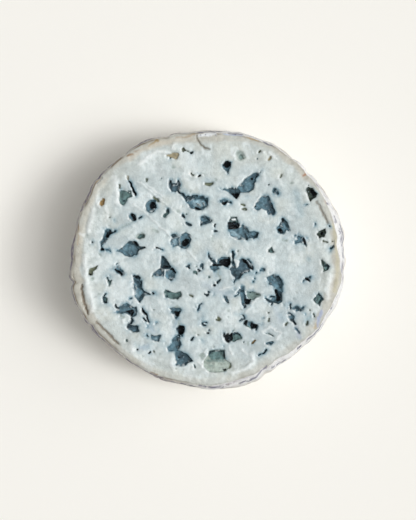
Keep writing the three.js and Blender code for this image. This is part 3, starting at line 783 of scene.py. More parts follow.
# Zones where blue mould shows through the paste: strength, softness, stations x, y, radius.
BLUE_ZONES = (
    (0.75, 5, (-44, 14.5, 0.5), (-38, 18, 0.5)),
    (0.7, 4, (-47, -5, 1), (-42, -8, 1)),
    (0.8, 6, (-36, -12, 2), (-33, -20, 2), (-41, -25, 3)),
    (0.8, 5, (-50, -22, 1), (-44, -24, 1), (-41, -29, 1.5)),
    (0.8, 5, (-31, -26, 1), (-27, -32, 1.5), (-24, -36, 1.5)),
    (0.7, 5, (-36, -42, 0.8), (-29, -43, 1.5), (-22, -40, 1)),
    (0.7, 4, (-16, -33, 1), (-14, -29, 1)),
    (0.6, 5, (-10, -5, 1.5), (-3, -6, 1.5), (1, -8, 1)),
    (0.9, 6, (1, 1, 1.5), (4, -5, 2), (6, -10, 1.5), (2, -14, 1.5)),
    (0.8, 5, (8, -18, 1), (15, -15, 1.5), (18, -21, 1.5)),
    (0.8, 5, (15, -3, 1), (22, -7, 1.5), (28, -5, 1)),
    (0.6, 5, (0, -22, 1), (-3, -31, 1.5), (1, -35, 1)),
    (0.7, 4, (14, -27, 1), (18, -29, 1.5), (24, -33, 1.5)),
    (0.8, 6, (28, -20, 1), (35, -22, 1.5), (40, -23, 1.5), (46, -24, 1.5)),
    (0.9, 6, (38, -27, 2), (42, -31, 2), (45, -37, 1.5)),
    (0.7, 5, (48, -30, 1.5), (52, -27, 1)),
    (0.7, 4, (34, 12, 1), (39, 9.5, 1), (46, 8, 1), (50, 0, 1)),
    (0.7, 4, (49, -9, 1.5)),
    (0.5, 6, (45, 22, 1), (43, 33, 1.5)),
    (0.6, 4, (20, 31, 1), (16, 36, 1)),
    (0.6, 4, (-14, 35, 1.5), (-6, 29, 2)),
    (0.5, 4, (-8, 40, 1), (2, 38, 1)),
)

# Bits of paste that stand in the eyes: stations x, y and radius.
ISLANDS = (
    ((-4.9, 27.4, 0.3), (-4, 26.7, 0.4)),
    ((-2, 27.4, 0.45), (-1.7, 26.7, 0.4)),
    ((-10.6, 27.9, 0.15), (-9.4, 28.9, 0.15), (-6.9, 29.6, 0.15)),
    ((-9.8, 28.6, 0.25), (-7.4, 29.1, 0.2)),
    ((-15.4, 12, 0.2), (-13.7, 11.3, 0.2), (-13.6, 8.4, 0.25), (-13.6, 6.6, 0.2)),
    ((9.8, 27.2, 0.5),),
    ((35.6, 16.4, 0.4), (36.6, 16, 0.3)),
    ((-38.4, 32.8, 0.5),),
    ((-35.1, 20.6, 0.35),),
    ((-28.2, 23.7, 0.5), (-27.2, 23.9, 0.4)),
    ((12, 19.7, 0.5), (13.6, 19.8, 0.5)),
    ((-17.6, 10.4, 0.25), (-15, 11, 0.3), (-12.6, 12.4, 0.25)),
    ((-35.4, -13, 0.3), (-35, -14.2, 0.3)),
    ((-20.6, -16.8, 0.3),),
    ((-17.2, -16, 0.35),),
    ((13.8, -0.4, 0.6), (14.2, -2.8, 0.7)),
    ((19.4, -1, 0.25), (21.8, -3.8, 0.2)),
    ((9.6, -36.4, 0.35),),
    ((-43.9, -22.8, 0.35),),
    ((-1.5, -31.5, 0.4),),
    ((3.8, -45.1, 0.25), (5.6, -44.6, 0.25)),
)

# Smeared ridges that catch the light, with a painted white highlight: height, softness, then
# stations x, y and radius.
RIDGES = (
    (0.6, 2.4, (-56, 25, 0.8), (-57.5, 18, 0.9), (-58.6, 13.6, 0.7)),
    (0.3, 1.2, (-49.9, 26, 0.3), (-49, 22, 0.3), (-49.8, 18.6, 0.3)),
    (0.3, 1.2, (-54.4, 31.4, 0.2), (-54.6, 28, 0.3), (-53, 25.4, 0.2)),
    (0.8, 2.6, (-60.2, 2, 1), (-59.6, -6, 1.2), (-58.9, -12, 1.2), (-57, -19, 1.2), (-56.4, -25, 0.8)),
    (0.3, 1.6, (-63.6, 13, 0.4), (-61, 12.2, 0.6)),
    (0.4, 2, (-17.2, -46.4, 0.8), (-17.4, -51, 0.9), (-16, -54.6, 0.6)),
    (0.4, 1, (-2.4, -46.2, 0.2), (-0.2, -44, 0.3)),
    (0.4, 1, (-4.6, -49.6, 0.2), (-2.4, -52.8, 0.3)),
    (0.5, 1.8, (12, -56, 0.5), (20, -53, 0.7), (22.6, -50.4, 0.5), (21.4, -46, 0.4)),
    (0.35, 2.8, (60, -7.6, 0.6), (59.4, -13, 0.7), (58.4, -19, 0.6)),
    (0.4, 1.8, (-36.9, -41.2, 0.6), (-36.8, -44.6, 0.6)),
    (0.4, 1.2, (-41.1, -29.4, 0.5), (-41.2, -31.2, 0.5)),
    (0.4, 2.2, (-33, 47, 0.9), (-29, 50.4, 0.9), (-24.6, 53.2, 0.8), (-20, 52.6, 0.7)),
    (0.4, 1.8, (-17.2, 54.4, 0.7), (-16.8, 56.4, 0.4)),
    (0.4, 1.4, (30.6, 52.2, 0.6), (33.6, 49.6, 0.5)),
    (0.4, 1.2, (27.4, 52.8, 0.5)),
    (0.4, 1, (13.4, 52.4, 0.2), (12.6, 50.6, 0.3), (13.6, 48.8, 0.2)),
    (0.3, 2.6, (-45.6, 40, 0.8), (-44.4, 33, 0.6), (-44.6, 28, 0.4)),
    (0.5, 1.2, (10.9, -4.4, 0.4), (11.6, -8, 0.5), (12.4, -10.2, 0.2)),
    (0.3, 0.9, (22.8, 26.6, 0.2), (25.6, 31, 0.2)),
    (0.4, 1, (7.2, -36.4, 0.3), (7.4, -39.4, 0.3)),
    (0.3, 1, (6.8, 47, 0.2), (7, 44.8, 0.2)),
    (0.3, 1.2, (35.4, -37, 0.4), (34, -38.6, 0.4)),
    (0.3, 1.2, (10.6, -42.8, 0.3), (12, -46.4, 0.4)),
    (0.3, 1.4, (17.4, -44.2, 0.5), (19.6, -46.4, 0.3)),
    (0.4, 1.4, (26.4, -16.2, 0.2), (22.2, -21.4, 0.4), (18.6, -26.6, 0.5)),
    (0.3, 1, (-34, 38.6, 0.15), (-24.4, 30.6, 0.15), (-15.4, 22.8, 0.2)),
    (0.25, 0.9, (-30.8, 37.4, 0.1), (-21.4, 30.2, 0.15)),
    (0.4, 1.1, (-36, 27.4, 0.15), (-30.4, 22.8, 0.2), (-17.4, 10.6, 0.3), (-10, 4.4, 0.2),
     (-4.6, -1, 0.15)),
    (0.25, 1, (6, -14.6, 0.2), (12.4, -13.4, 0.2)),
    (0.3, 1.4, (36, -36, 0.3), (31, -33, 0.3), (27, -35.6, 0.3)),
)

# Grooves in crust and paste: depth, share of brown, then stations x, y and radius.
GROOVES = (
    (1.2, 0.9, (-61.7, -12.5, 0.4), (-61.2, -17, 0.5), (-60.3, -21, 0.5), (-58.5, -26.8, 0.4)),
    (0.9, 0.8, (-54.3, -30.7, 0.4), (-52.8, -32.2, 0.5), (-50.4, -34.6, 0.4), (-46, -38.8, 0.4),
     (-43.6, -41.2, 0.4)),
    (0.8, 0.6, (53.2, 28.4, 0.5), (55, 25.4, 0.5), (56.6, 22.4, 0.5), (58.9, 17.8, 0.5)),
    (1, 0.5, (-5.2, 61, 0.3), (-4.9, 59, 0.4), (-2.9, 56, 0.5), (-1.2, 54.4, 0.5), (0.8, 54.1, 0.4)),
    (0.4, 0.7, (-66.4, -4.6, 0.3), (-65.8, -8.4, 0.3), (-64.9, -10.6, 0.3)),
    (0.6, 0.3, (-66.4, -10.8, 0.6), (-64.2, -11.8, 0.4)),
    (0.4, 0.7, (-66.1, -14, 0.3), (-65.3, -18, 0.3), (-63.4, -22.4, 0.3), (-60.6, -28, 0.3)),
    (0.3, 0.1, (-35, 37.6, 0.1), (-25, 29.6, 0.1), (-16, 22, 0.1)),
    (0.2, 0.1, (56, -5, 1), (56.4, -12, 1.2), (56, -17, 1)),
    (0.3, 0.1, (12, -53.6, 0.5), (19, -51.2, 0.5), (22, -49.6, 0.4)),
)

# Stains of the crust and paste, and a pale patch of painted light on the left crust where the
# rim slopes away from the lamps: colour, strength, softness, then stations x, y and radius.
STAINS_AND_PAINTED_LIGHT = (
    ((146, 112, 76), 0.9, 0.6, (-39.4, 50.6, 0.4), (-38, 51.4, 0.6), (-36.4, 51.6, 0.4)),
    ((160, 136, 92), 0.9, 0.8, (-28.6, 56, 0.3), (-24.4, 58.4, 0.8)),
    ((148, 122, 92), 0.8, 0.6, (-27.8, -55.2, 0.3), (-24.8, -56.4, 0.4)),
    ((110, 90, 72), 0.8, 0.4, (-21, -58.2, 0.2), (-17.2, -59.4, 0.2)),
    ((168, 140, 96), 0.8, 0.6, (-55.2, 37.4, 0.3), (-52.4, 41.2, 0.3)),
    ((58, 56, 66), 0.9, 0.4, (-54, 37.2, 0.15), (-51.6, 40.8, 0.15)),
    ((160, 132, 104), 0.6, 0.8, (-36, 52.8, 0.4), (-33.6, 54, 0.5)),
    ((178, 154, 114), 0.8, 0.9, (19.6, 60.2, 0.4), (22, 59.2, 0.6), (24.4, 58.4, 0.4)),
    ((160, 112, 76), 0.9, 0.7, (46.8, 40.9, 0.5), (48.6, 42, 0.8)),
    ((188, 181, 150), 0.65, 1.6, (61.5, 17, 0.8), (63.2, 8, 0.9), (64, -6, 1), (62.4, -16, 1)),
    # Painted light: a pale lift on the left crust, where the rim slopes away from the lamps.
    ((226, 220, 204), 0.5, 3.5, (-50, 39, 0.8), (-56.6, 29, 0.9), (-60.6, 16, 1), (-62, 9, 0.8)),
    ((212, 203, 186), 0.55, 3, (-38, 49.6, 0.8), (-31, 54.2, 0.8), (-22, 57.4, 0.8), (-8, 59.6, 0.6)),
    ((168, 142, 106), 0.7, 0.7, (-15.4, 59.6, 0.2), (-10, 60.6, 0.3), (-6.2, 61.2, 0.3)),
    ((184, 158, 120), 0.6, 1, (-62.6, 16, 0.2), (-64, 7, 0.3)),
    ((206, 218, 218), 0.6, 16, (-20, 10, 6), (20, 20, 6)),
    ((184, 197, 200), 0.8, 16, (16, -44, 6), (38, -30, 8), (50, -8, 4)),
    ((236, 240, 242), 0.85, 0.8, (-4, 60.8, 0.8), (0.4, 61.2, 0.9), (4.2, 61.6, 0.5)),
    ((96, 92, 100), 0.8, 0.35, (0.9, 60.9, 0.15), (1.4, 60.8, 0.1)),
    ((186, 200, 228), 0.8, 0.8, (8, 61.8, 0.5), (13.4, 61.6, 0.7), (17.6, 60.8, 0.4)),
    ((112, 106, 92), 0.85, 0.5, (-4.6, 58.6, 0.05), (-3, 56.4, 0.15), (-1.6, 54.8, 0.35),
     (1, 54.2, 0.1)),
    ((190, 172, 134), 0.8, 1.2, (52.6, -33.4, 0.6), (53.4, -31.6, 0.6)),
    ((158, 172, 204), 0.75, 1, (55.6, -25.2, 0.7), (54.6, -29, 0.9), (53.8, -32.6, 0.5)),
    ((162, 176, 196), 0.6, 2.2, (43.4, -33.6, 0.8), (44.8, -37.6, 1)),
    ((176, 190, 206), 0.6, 2, (-33, -43.4, 0.8), (-29.6, -42.6, 1)),
    ((176, 194, 206), 0.6, 2.4, (-28.2, -33.4, 1), (-26.4, -35.6, 1)),
    ((186, 172, 160), 0.7, 0.8, (58.6, 27.6, 0.8), (57.6, 28.8, 0.5)),
    ((188, 194, 190), 0.5, 3, (34, -44, 2), (26, -50, 1.5)),
    ((176, 192, 204), 0.4, 3.5, (-2, -12, 1), (5, -15, 2), (12, -18, 1)),
    ((176, 192, 204), 0.4, 2.5, (33, -23.6, 1.2), (36, -30, 1)),
    ((166, 186, 200), 0.5, 1.6, (-38, 17.4, 0.4), (-44, 14.8, 0.5)),
    ((190, 182, 172), 0.6, 2.4, (16, 52.6, 0.8)),
    ((176, 192, 200), 0.4, 2, (36.8, 9.6, 1), (40, 12.4, 1)),
    ((176, 196, 200), 0.4, 2, (46.6, 21.6, 1), (44.6, 32.4, 0.8)),
    ((188, 196, 196), 0.5, 3, (-24, 45, 2), (-22, 42, 2)),
    ((176, 190, 202), 0.4, 2.5, (-15.6, -33, 0.8), (-14.4, -29, 0.8)),
    ((188, 198, 196), 0.4, 2.5, (-53, -22.4, 0.8), (-50.4, -22.6, 1)),
)


def smooth(value):
    """A soft step from 0 to 1."""
    share = np.clip(value, 0.0, 1.0)
    return share * share * (3.0 - 2.0 * share)


def mix(base, top, share):
    return base + (top - base) * share


def lattice(cells, seed):
    """A fixed random value from 0 to 1 for each whole-number cell."""
    mixed = cells[:, 0] * 374761393 + cells[:, 1] * 668265263 + cells[:, 2] * 1274126177 + seed * 362437
    mixed = (mixed ^ (mixed >> 13)) & 0xFFFFFFFF
    mixed = (mixed * 1103515245 + 12345) & 0xFFFFFFFF
    return ((mixed ^ (mixed >> 16)) & 0xFFFF) / 0xFFFF


def noise(points, size, seed):
    """Smooth random values from -1 to 1 that change over a size in millimetres."""
    place = points / size
    whole = np.floor(place).astype(np.int64)
    blend = smooth(place - whole)
    total = np.zeros(len(points))
    for corner in itertools.product((0, 1), repeat=3):
        share = np.prod(np.where(corner, blend, 1.0 - blend), axis=1)
        total += share * lattice(whole + np.array(corner), seed)
    return 2.0 * total - 1.0


def layered(points, layers, start=0.0):
    """Some layers of noise, added to a start."""
    return sum((strength * noise(points, size, seed) for strength, size, seed in layers), start)


def flat_points(x, y):
    return np.stack((x, y, np.zeros_like(x)), axis=1)


def dyed(tint, dye, share):
    """Colours mixed with another by a share for each place."""
    return mix(tint, dye, share[:, None])


def past(values, fade):
    """From 0 to 1 as a value passes a start, over the length of a fade."""
    start, length = fade
    return smooth((values - start) / length)


def around(values, angle):
    """A smooth closed curve through values spaced evenly round the drum."""
    values = np.array(values)
    count = len(values)
    place = (angle / math.tau) % 1.0 * count
    start = np.floor(place).astype(int)
    t = place - start
    a, b, c, d = (values[(start + step) % count] for step in (-1, 0, 1, 2))
    bend = 2 * a - 5 * b + 4 * c - d + t * (3 * (b - c) + d - a)
    return b + 0.5 * t * (c - a + t * bend)


def wrinkle(angle, height):
    """The rind's large folds, as in the solid."""
    folds = (
        np.sin(11 * angle + 0.13 * height)
        + 0.8 * np.sin(19 * angle - 0.21 * height + 1.7)
        + 0.6 * np.sin(31 * angle + 0.34 * height + 0.6)
    )
    return WRINKLE * folds / 2


def ridge_share(angle):
    return 0.5 + 0.3 * np.sin(3 * angle + 0.4) + 0.2 * np.sin(7 * angle + 2.1)


def ring_points(angle, radius, height):
    return np.stack((radius * np.cos(angle), radius * np.sin(angle), height), axis=1)


def less_bumps(values, angle, table):
    """Takes smooth bumps off values round the drum: turn and width in degrees, height."""
    for turn, width, height in table:
        away = (np.degrees(angle) - turn + 180) % 360 - 180
        values = values - height * np.exp(-((away / width) ** 2))
    return values


def ragged(angle):
    """Small unevenness of the cut edge."""
    edge = ring_points(angle, EDGE_RADIUS, np.zeros_like(angle))
    return less_bumps(layered(edge, EDGE_NOISE), angle, NOTCHES)


def overhang(angle):
    """How far the wall stands out past the cut edge."""
    return less_bumps(around(WALL_OVERHANG, angle), angle, FLARES)


def cut_edge(angle):
    return around(WALL_REACH, angle) - overhang(angle) + ragged(angle)


def chain_distance(x, y, stations):
    """Distance outside a chain of round stations with straight tapered sides."""
    best = np.full(len(x), np.inf)
    for (ax, ay, ar), (bx, by, br) in zip(stations, stations[1:] or stations):
        dx, dy = bx - ax, by - ay
        along = ((x - ax) * dx + (y - ay) * dy) / max(dx * dx + dy * dy, 1e-9)
        along = np.clip(along, 0.0, 1.0)
        gap = np.hypot(x - ax - along * dx, y - ay - along * dy) - (ar + along * (br - ar))
        best = np.minimum(best, gap)
    return best


def outline_distance(x, y, corners):
    """Distance outside a closed outline, less than nothing within it."""
    best = np.full(len(x), np.inf)
    within = np.zeros(len(x), bool)
    for (ax, ay), (bx, by) in zip(corners, corners[1:] + corners[:1]):
        dx, dy = bx - ax, by - ay
        along = np.clip(((x - ax) * dx + (y - ay) * dy) / (dx * dx + dy * dy), 0.0, 1.0)
        best = np.minimum(best, np.hypot(x - ax - along * dx, y - ay - along * dy))
        if ay != by:
            within ^= ((ay > y) != (by > y)) & (x < ax + (y - ay) * dx / dy)
    return np.where(within, -best, best)


def eye_distance(x, y, shape):
    if len(shape[0]) == 2:
        return outline_distance(x, y, shape) - OUTLINE_GROWTH
    return chain_distance(x, y, shape) - CHAIN_GROWTH


def chain_cover(x, y, stations, softness, at_edge=HALF):
    """How deep in a soft-edged chain of stations each place lies, from 0 to 1."""
    return smooth(at_edge - chain_distance(x, y, stations) / softness)


def warped(x, y):
    """Places pushed about a little, which makes the outlines uneven and angular."""
    flat = flat_points(x, y)
    return x + layered(flat, WARP_ACROSS), y + layered(flat, WARP_ALONG)


def specks():
    """Tiny pin-prick eyes, most of them scattered round the named ones."""
    draw = np.random.default_rng(SPECK_SEED)
    middles = [shape[0][:2] for kind, *shape in EYES if kind != "faint"]
    found = []
    for _ in range(SPECK_COUNT):
        near = middles[draw.integers(len(middles))]
        x, y = near + draw.normal(0.0, SPECK_SCATTER, 2)
        kind = SPECK_KINDS[draw.integers(len(SPECK_KINDS))]
        radius = draw.uniform(*SPECK_RADIUS)
        if math.hypot(x, y) < SPECK_REACH:
            end = (x + draw.normal(0.0, SPECK_LENGTH), y + draw.normal(0.0, SPECK_LENGTH), radius)
            found.append((kind, (x, y, radius), end))
    return found


SPECKS = specks()
CRISP_KINDS = [kind for kind in LININGS if kind != "faint"]


def lining_distances(x, y):
    """For each kind of lining, the distance outside its nearest eye, up to a limit."""
    wx, wy = warped(x, y)
    gaps = {kind: np.full(len(x), FAR) for kind in LININGS}
    for kind, *shape in itertools.chain(EYES, SPECKS):
        across = [place[0] for place in shape]
        along = [place[1] for place in shape]
        near = (wx > min(across) - FAR) & (wx < max(across) + FAR)
        near &= (wy > min(along) - FAR) & (wy < max(along) + FAR)
        near = np.flatnonzero(near)
        gap = eye_distance(wx[near], wy[near], shape)
        gaps[kind][near] = np.minimum(gaps[kind][near], gap)
    return gaps


def nearest(gaps, kinds):
    """The distance outside the nearest eye of some kinds of lining."""
    return np.min([gaps[kind] for kind in kinds], axis=0)


def wall_distances(places):
    """Distances outside any eye with a crisp edge, and outside the dark parts of the eyes."""
    gaps = lining_distances(*places.T)
    return nearest(gaps, CRISP_KINDS), nearest(gaps, ("dark", "black"))


def snapped(places):
    """Moves points that lie close to the top or the foot of a wall onto it."""
    gap, _ = wall_distances(places)
    slope_x = (wall_distances(places + (STEP, 0.0))[0] - gap) / STEP
    slope_y = (wall_distances(places + (0.0, STEP))[0] - gap) / STEP
    steep = np.maximum(slope_x**2 + slope_y**2, LEAST_STEEP)
    share = np.zeros(len(places))
    for level in (0.0, -WALL_WIDTH):
        share = np.where(np.abs(gap - level) < SNAP, (gap - level) / steep, share)
    return places - share[:, None] * np.stack((slope_x, slope_y), axis=1)


def split(places, faces, gap):
    """Cuts triangles wherever a value changes sign along one of their sides."""
    sides = np.where(np.abs(gap) < ON_CONTOUR, 0, np.sign(gap)).astype(int)
    crossed = np.ptp(sides[faces], axis=1) == 2
    waiting = faces[crossed].tolist()
    sides = sides.tolist()
    middles, added, done = {}, [], []
    while waiting:
        a, b, c = waiting.pop()
        for p, q, r in ((a, b, c), (b, c, a), (c, a, b)):
            if sides[p] * sides[q] < 0:
                low, high = min(p, q), max(p, q)
                if (low, high) not in middles:
                    middles[low, high] = len(sides)
                    sides.append(0)
                    added.append(mix(places[low], places[high], gap[low] / (gap[low] - gap[high])))
                middle = middles[low, high]
                waiting += [(p, middle, r), (middle, q, r)]
                break
        else:
            done.append((a, b, c))
    return np.concatenate((places, added)), np.concatenate((faces[~crossed], done))


def face_mesh():
    """Places and triangles of the cut face, with sides along the walls of its eyes."""
    rings = face_rings()
    places = np.concatenate(rings)
    outer = slice(len(places) - len(rings[-1]), len(places))
    faces = np.array(joined(rings, 0))
    edge = places[outer].copy()
    places = snapped(places)
    places[outer] = edge
    for wall in (
        lambda crisp, deep: crisp,
        lambda crisp, deep: crisp + WALL_WIDTH,
        lambda crisp, deep: np.maximum(deep, crisp + WALL_WIDTH),
        lambda crisp, deep: np.maximum(deep, crisp) + WALL_WIDTH,
    ):
        gap = wall(*wall_distances(places))
        gap[outer] = FAR
        places, faces = split(places, faces, gap)
    return places, faces


def edge_inward(x, y):
    """How far in from the cut edge each place lies, and its angle."""
    angle = np.arctan2(y, x)
    return cut_edge(angle) - np.hypot(x, y), angle


def paste_tint(flat, inward):
    """The paste, with its patches, its creamy places and its pale smears."""
    tint = dyed(PASTE, PASTE_NEAR_RIND, smooth((NEAR_RIND_IN - inward) / NEAR_RIND_FADE))
    tint = tint * (1 + layered(flat, PASTE_PATCHES))[:, None]
    tint = dyed(tint, CREAM, CREAM_SHARE * smooth(layered(flat, PASTE_CREAM)))
    smears = layered(flat * SMEAR_STRETCH, PASTE_SMEARS)
    return dyed(tint, SMEAR, SMEAR_SHARE * past(smears, SMEAR_FADE))


def crust_tint(x, y):
    """Colour of the paste and of the crust, with its stains and painted light on its left part, before
    any eye.
    """
    flat = flat_points(x, y)
    inward, angle = edge_inward(x, y)
    tint = paste_tint(flat, inward)
    band = layered(flat, BAND_CHANGE, around(BAND_WIDTH, angle))
    strength = layered(flat, BAND_STRENGTH_CHANGE, around(BAND_STRENGTH, angle))
    crust = smooth((band - inward) / CRUST_SOFTNESS + HALF) * strength
    mottled = CRUST * layered(flat, CRUST_MOTTLES, 1.0)[:, None]
    tint = dyed(tint, mottled, np.clip(crust, 0, 1))
    broken = np.clip(layered(flat, EDGE_LINE_CHANGE, EDGE_LINE_MEAN), 0, EDGE_LINE_MOST)
    line = np.exp(-(((inward - EDGE_LINE_IN) / EDGE_LINE_WIDTH) ** 2))
    line = line * around(EDGE_BROWN, angle) * broken
    tint = dyed(tint, CRUST_LINE, np.clip(line, 0, 1))
    wx, wy = warped(x, y)
    # Stains, and the pale patch of painted light on the left crust.
    for patch_colour, strength, softness, *stations in STAINS_AND_PAINTED_LIGHT:
        tint = dyed(tint, colour(*patch_colour), strength * chain_cover(wx, wy, stations, softness))
    return dyed(tint, MARK, MARK_SHARE * marks(x, y))


def marks(x, y):
    """How deep in a violet line or dot each place lies, from 0 to 1."""
    wx, wy = warped(x, y)
    covers = [chain_cover(wx, wy, line, MARK_SOFTNESS, MARK_AT_EDGE) for line in WALL_MARKS]
    return np.max(covers, axis=0)


def surface(x, y):
    """Height and colour of the cut face with its ridges, their painted highlight, and its grooves,
    before any eye.
    """
    flat = flat_points(x, y)
    inward, angle = edge_inward(x, y)
    wx, wy = warped(x, y)
    tint = crust_tint(x, y)
    rise = np.interp(inward, (0, BAND_IN, RIDGE_IN, RIDGE_IN + RIDGE_BACK), (0, 0, 1, 0))
    height = RIDGE_RISE * ridge_share(angle) * smooth(rise) - RIM_DROP * smooth(1 - inward / BAND_IN)
    height = layered(flat, FACE_SWELLS, height)
    for rise, softness, *stations in RIDGES:
        cover = chain_cover(wx, wy, stations, softness, RIDGE_AT_EDGE)
        height += rise * cover
        # Painted highlight: white along the ridge.
        tint = dyed(tint, WHITE_PASTE_AND_HIGHLIGHT, RIDGE_PAINTED_HIGHLIGHT * cover)
    for depth, brown, *stations in GROOVES:
        cover = chain_cover(wx, wy, stations, GROOVE_SOFTNESS)
        height -= depth * cover
        tint = dyed(tint, CRUST_LINE, brown * cover)
    return height, tint


def haze_cover(x, y, gaps):
    """Share of blue in the paste, near the blue eyes and in the blue zones."""
    clouds = np.clip(layered(flat_points(x, y), HAZE_CLOUDS, HAZE_MEAN), 0, 1)
    blue = nearest(gaps, HAZE_KINDS)
    haze = np.clip(np.exp(-np.maximum(blue, 0.0) / HAZE_FADE) * clouds, 0, 1)
    for strength, softness, *stations in BLUE_ZONES:
        zone = strength * chain_cover(x, y, stations, softness)
        haze = np.maximum(haze, zone * clouds)
    return haze


def lip_highlight(x, y, crisp):
    """Painted highlight: a share of white on the lips of the eyes, on the side that faces the light."""
    toward_light = np.stack((x + LIP_STEP, y + LIP_SLANT * LIP_STEP), axis=1)
    lit = smooth((crisp - wall_distances(toward_light)[0]) / LIP_STEP)
    lip = np.exp(-(((crisp - LIP_AT) / LIP_WIDTH) ** 2))
    patchy = np.clip(layered(flat_points(x, y), LIP_CHANGE, LIP_MEAN), 0, 1)
    return LIP_PAINTED_HIGHLIGHT * lip * lit * patchy


def island_cover(x, y):
    """How deep in a bit of paste that stands in an eye each place lies, from 0 to 1."""
    wx, wy = warped(x, y)
    covers = [chain_cover(wx, wy, stations, ISLAND_SOFTNESS) for stations in ISLANDS]
    return np.max(covers, axis=0)


def crumb_cover(flat, gaps, crisp):
    """Crumbs of paste in the blue eyes near their walls, and few where they are dark."""
    crumbs = past(layered(flat, CRUMBS), CRUMB_FADE) * past(crisp, CRUMB_NEAR_WALL)
    crumbs *= np.where(nearest(gaps, ("black", "dark")) < 0, CRUMBS_IN_DARK, 1.0)
    return crumbs * np.where(nearest(gaps, ("slate", "deep")) < 0, 1.0, 0.0)


def lined(flat, tint, gaps, island):
    """Depth of the eyes, the colour with their linings, and the share of mould."""
    uneven = layered(flat, DEPTH_CHANGE, 1.0)
    change = layered(flat, LINING_CHANGE)
    mould = np.zeros(len(flat))
    depths = np.zeros(len(flat))
    for kind, (lining, depth, softness) in LININGS.items():
        gap = gaps[kind]
        reach = FAINT_REACH if kind == "faint" else WALL_WIDTH
        depths = np.minimum(depths, -depth * smooth(-gap / reach) * uneven)
        cover = smooth(LINING_AT_EDGE - gap / softness) * (1 - ISLAND_HIDES * island)
        mould = np.maximum(mould * (1 - cover), cover)
        uneasy = EVEN_SHARE if kind in EVEN_KINDS else 1.0
        # The dark and black linings carry painted shade as well as the mould's own colour.
        tint = dyed(tint, colour(*lining) * (1 + uneasy * change)[:, None], cover)
    return depths, tint, mould


def face_relief(x, y):
    """Height of the cut face over its plane, its colour, its mould and its blue haze."""
    flat = flat_points(x, y)
    gaps = lining_distances(x, y)
    crisp = nearest(gaps, CRISP_KINDS)
    height, tint = surface(x, y)
    haze = haze_cover(x, y, gaps)
    tint = dyed(tint, BLUE_HAZE, HAZE_SHARE * haze)
    height -= LIP_SINK * np.exp(-np.maximum(crisp, 0.0) / LIP_WIDTH)
    # Painted highlight on the lips of the eyes, on their side toward the light.
    tint = dyed(tint, WHITE_PASTE_AND_HIGHLIGHT, lip_highlight(x, y, crisp))
    island = island_cover(x, y)
    depths, tint, mould = lined(flat, tint, gaps, island)
    island = np.maximum(island, CRUMB_SHARE * crumb_cover(flat, gaps, crisp))
    height += depths * (1 - ISLAND_FILLS * island)
    return height, dyed(tint, WHITE_PASTE_AND_HIGHLIGHT, ISLAND_WHITE * island), mould, haze


def circle(steps):
    """Angles of evenly spaced steps round the drum."""
    return np.arange(steps) / steps * math.tau


def face_rings():
    """The cut face, as rings that hold six more points each than the last."""
    rings = [np.zeros((1, 2))]
    for ring in range(1, FACE_RINGS + 1):
        angle = circle(6 * ring)
        radius = (cut_edge(angle) - RIM_ROUND) * ring / FACE_RINGS
        rings.append(np.stack((radius * np.cos(angle), radius * np.sin(angle)), axis=1))
    return rings


def wall_radius(angle, height):
    """Radius of the wall: out from the cut edge to the belly and in at the lower edge."""
    belly = HEIGHT * BELLY_AT
    share = np.interp(
        height,
        (LOWER_EDGE + 2, belly - 7, belly, belly + 8, HEIGHT - 7, HEIGHT - 2.8, HEIGHT - 1.2),
        (0.9, 1.0, 1.0, 0.9, 0.6, 0.25, 0.0),
    )
    inset = overhang(angle) * (1 - share)
    fade = np.clip(height / LOWER_EDGE, 0, 1) * smooth((HEIGHT - height) / WRINKLE_FADE)
    radius = around(WALL_REACH, angle) - inset + fade * wrinkle(angle, height)
    upper = mix(RAGGED_LEAST, 1, smooth((height - HEIGHT + RAGGED_DOWN) / RAGGED_FADE))
    return radius + ragged(angle) * upper * smooth(height / LOWER_EDGE - 1.0)


def rim_rings():
    """The rounded rim, from the cut face out."""
    angle = circle(6 * FACE_RINGS)
    for ring in range(1, RIM_RINGS + 1):
        turn = ring / RIM_RINGS * math.pi / 2
        radius = cut_edge(angle) - RIM_ROUND * (1 - math.sin(turn))
        height = HEIGHT - RIM_DROP - (RIM_ROUND - RIM_DROP) * (1 - math.cos(turn))
        yield ring_points(angle, radius, np.full(len(angle), height))


def wall_rings():
    """The wall, from just under the rim to just over the lower edge."""
    angle = circle(WALL_STEPS)
    top, bottom = HEIGHT - RIM_ROUND - 1.0, LOWER_EDGE + 1.0
    for ring in range(WALL_RINGS):
        height = np.full(WALL_STEPS, mix(top, bottom, ring / (WALL_RINGS - 1)))
        yield ring_points(angle, wall_radius(angle, height), height)


def lower_rings():
    """The rounded lower edge, and the base in to its middle."""
    angle = circle(EDGE_STEPS)
    for ring in range(EDGE_RINGS + 1):
        turn = math.pi / 2 * (1 - ring / EDGE_RINGS)
        height = np.full(EDGE_STEPS, LOWER_EDGE * (1 - math.cos(turn)))
        inward = LOWER_EDGE * (1 - math.sin(turn)) + LOWER_INSET
        radius = around(WALL_REACH, angle) - inward + math.sin(turn) * wrinkle(angle, height)
        yield ring_points(angle, radius, height)
    for ring in range(BASE_RINGS - 1, 0, -1):
        angle = circle(max(LEAST_STEPS, EDGE_STEPS * ring // BASE_RINGS // 2))
        radius = (around(WALL_REACH, angle) - LOWER_EDGE - LOWER_INSET) * ring / BASE_RINGS
        yield ring_points(angle, radius, np.zeros(len(angle)))
    yield np.zeros((1, 3))


def zipped(first, first_count, second, second_count):
    """Triangles between two rings of points that may differ in number."""
    faces = []
    i = j = 0
    while i < first_count or j < second_count:
        step_first = (i + 1) * second_count <= (j + 1) * first_count
        if (step_first or j == second_count) and i < first_count and first_count > 1:
            here, after = first + i % first_count, first + (i + 1) % first_count
            faces.append((here, second + j % second_count, after))
            i += 1
        elif second_count > 1 and j < second_count:
            here, after = second + j % second_count, second + (j + 1) % second_count
            faces.append((first + i % first_count, here, after))
            j += 1
        else:
            break
    return faces


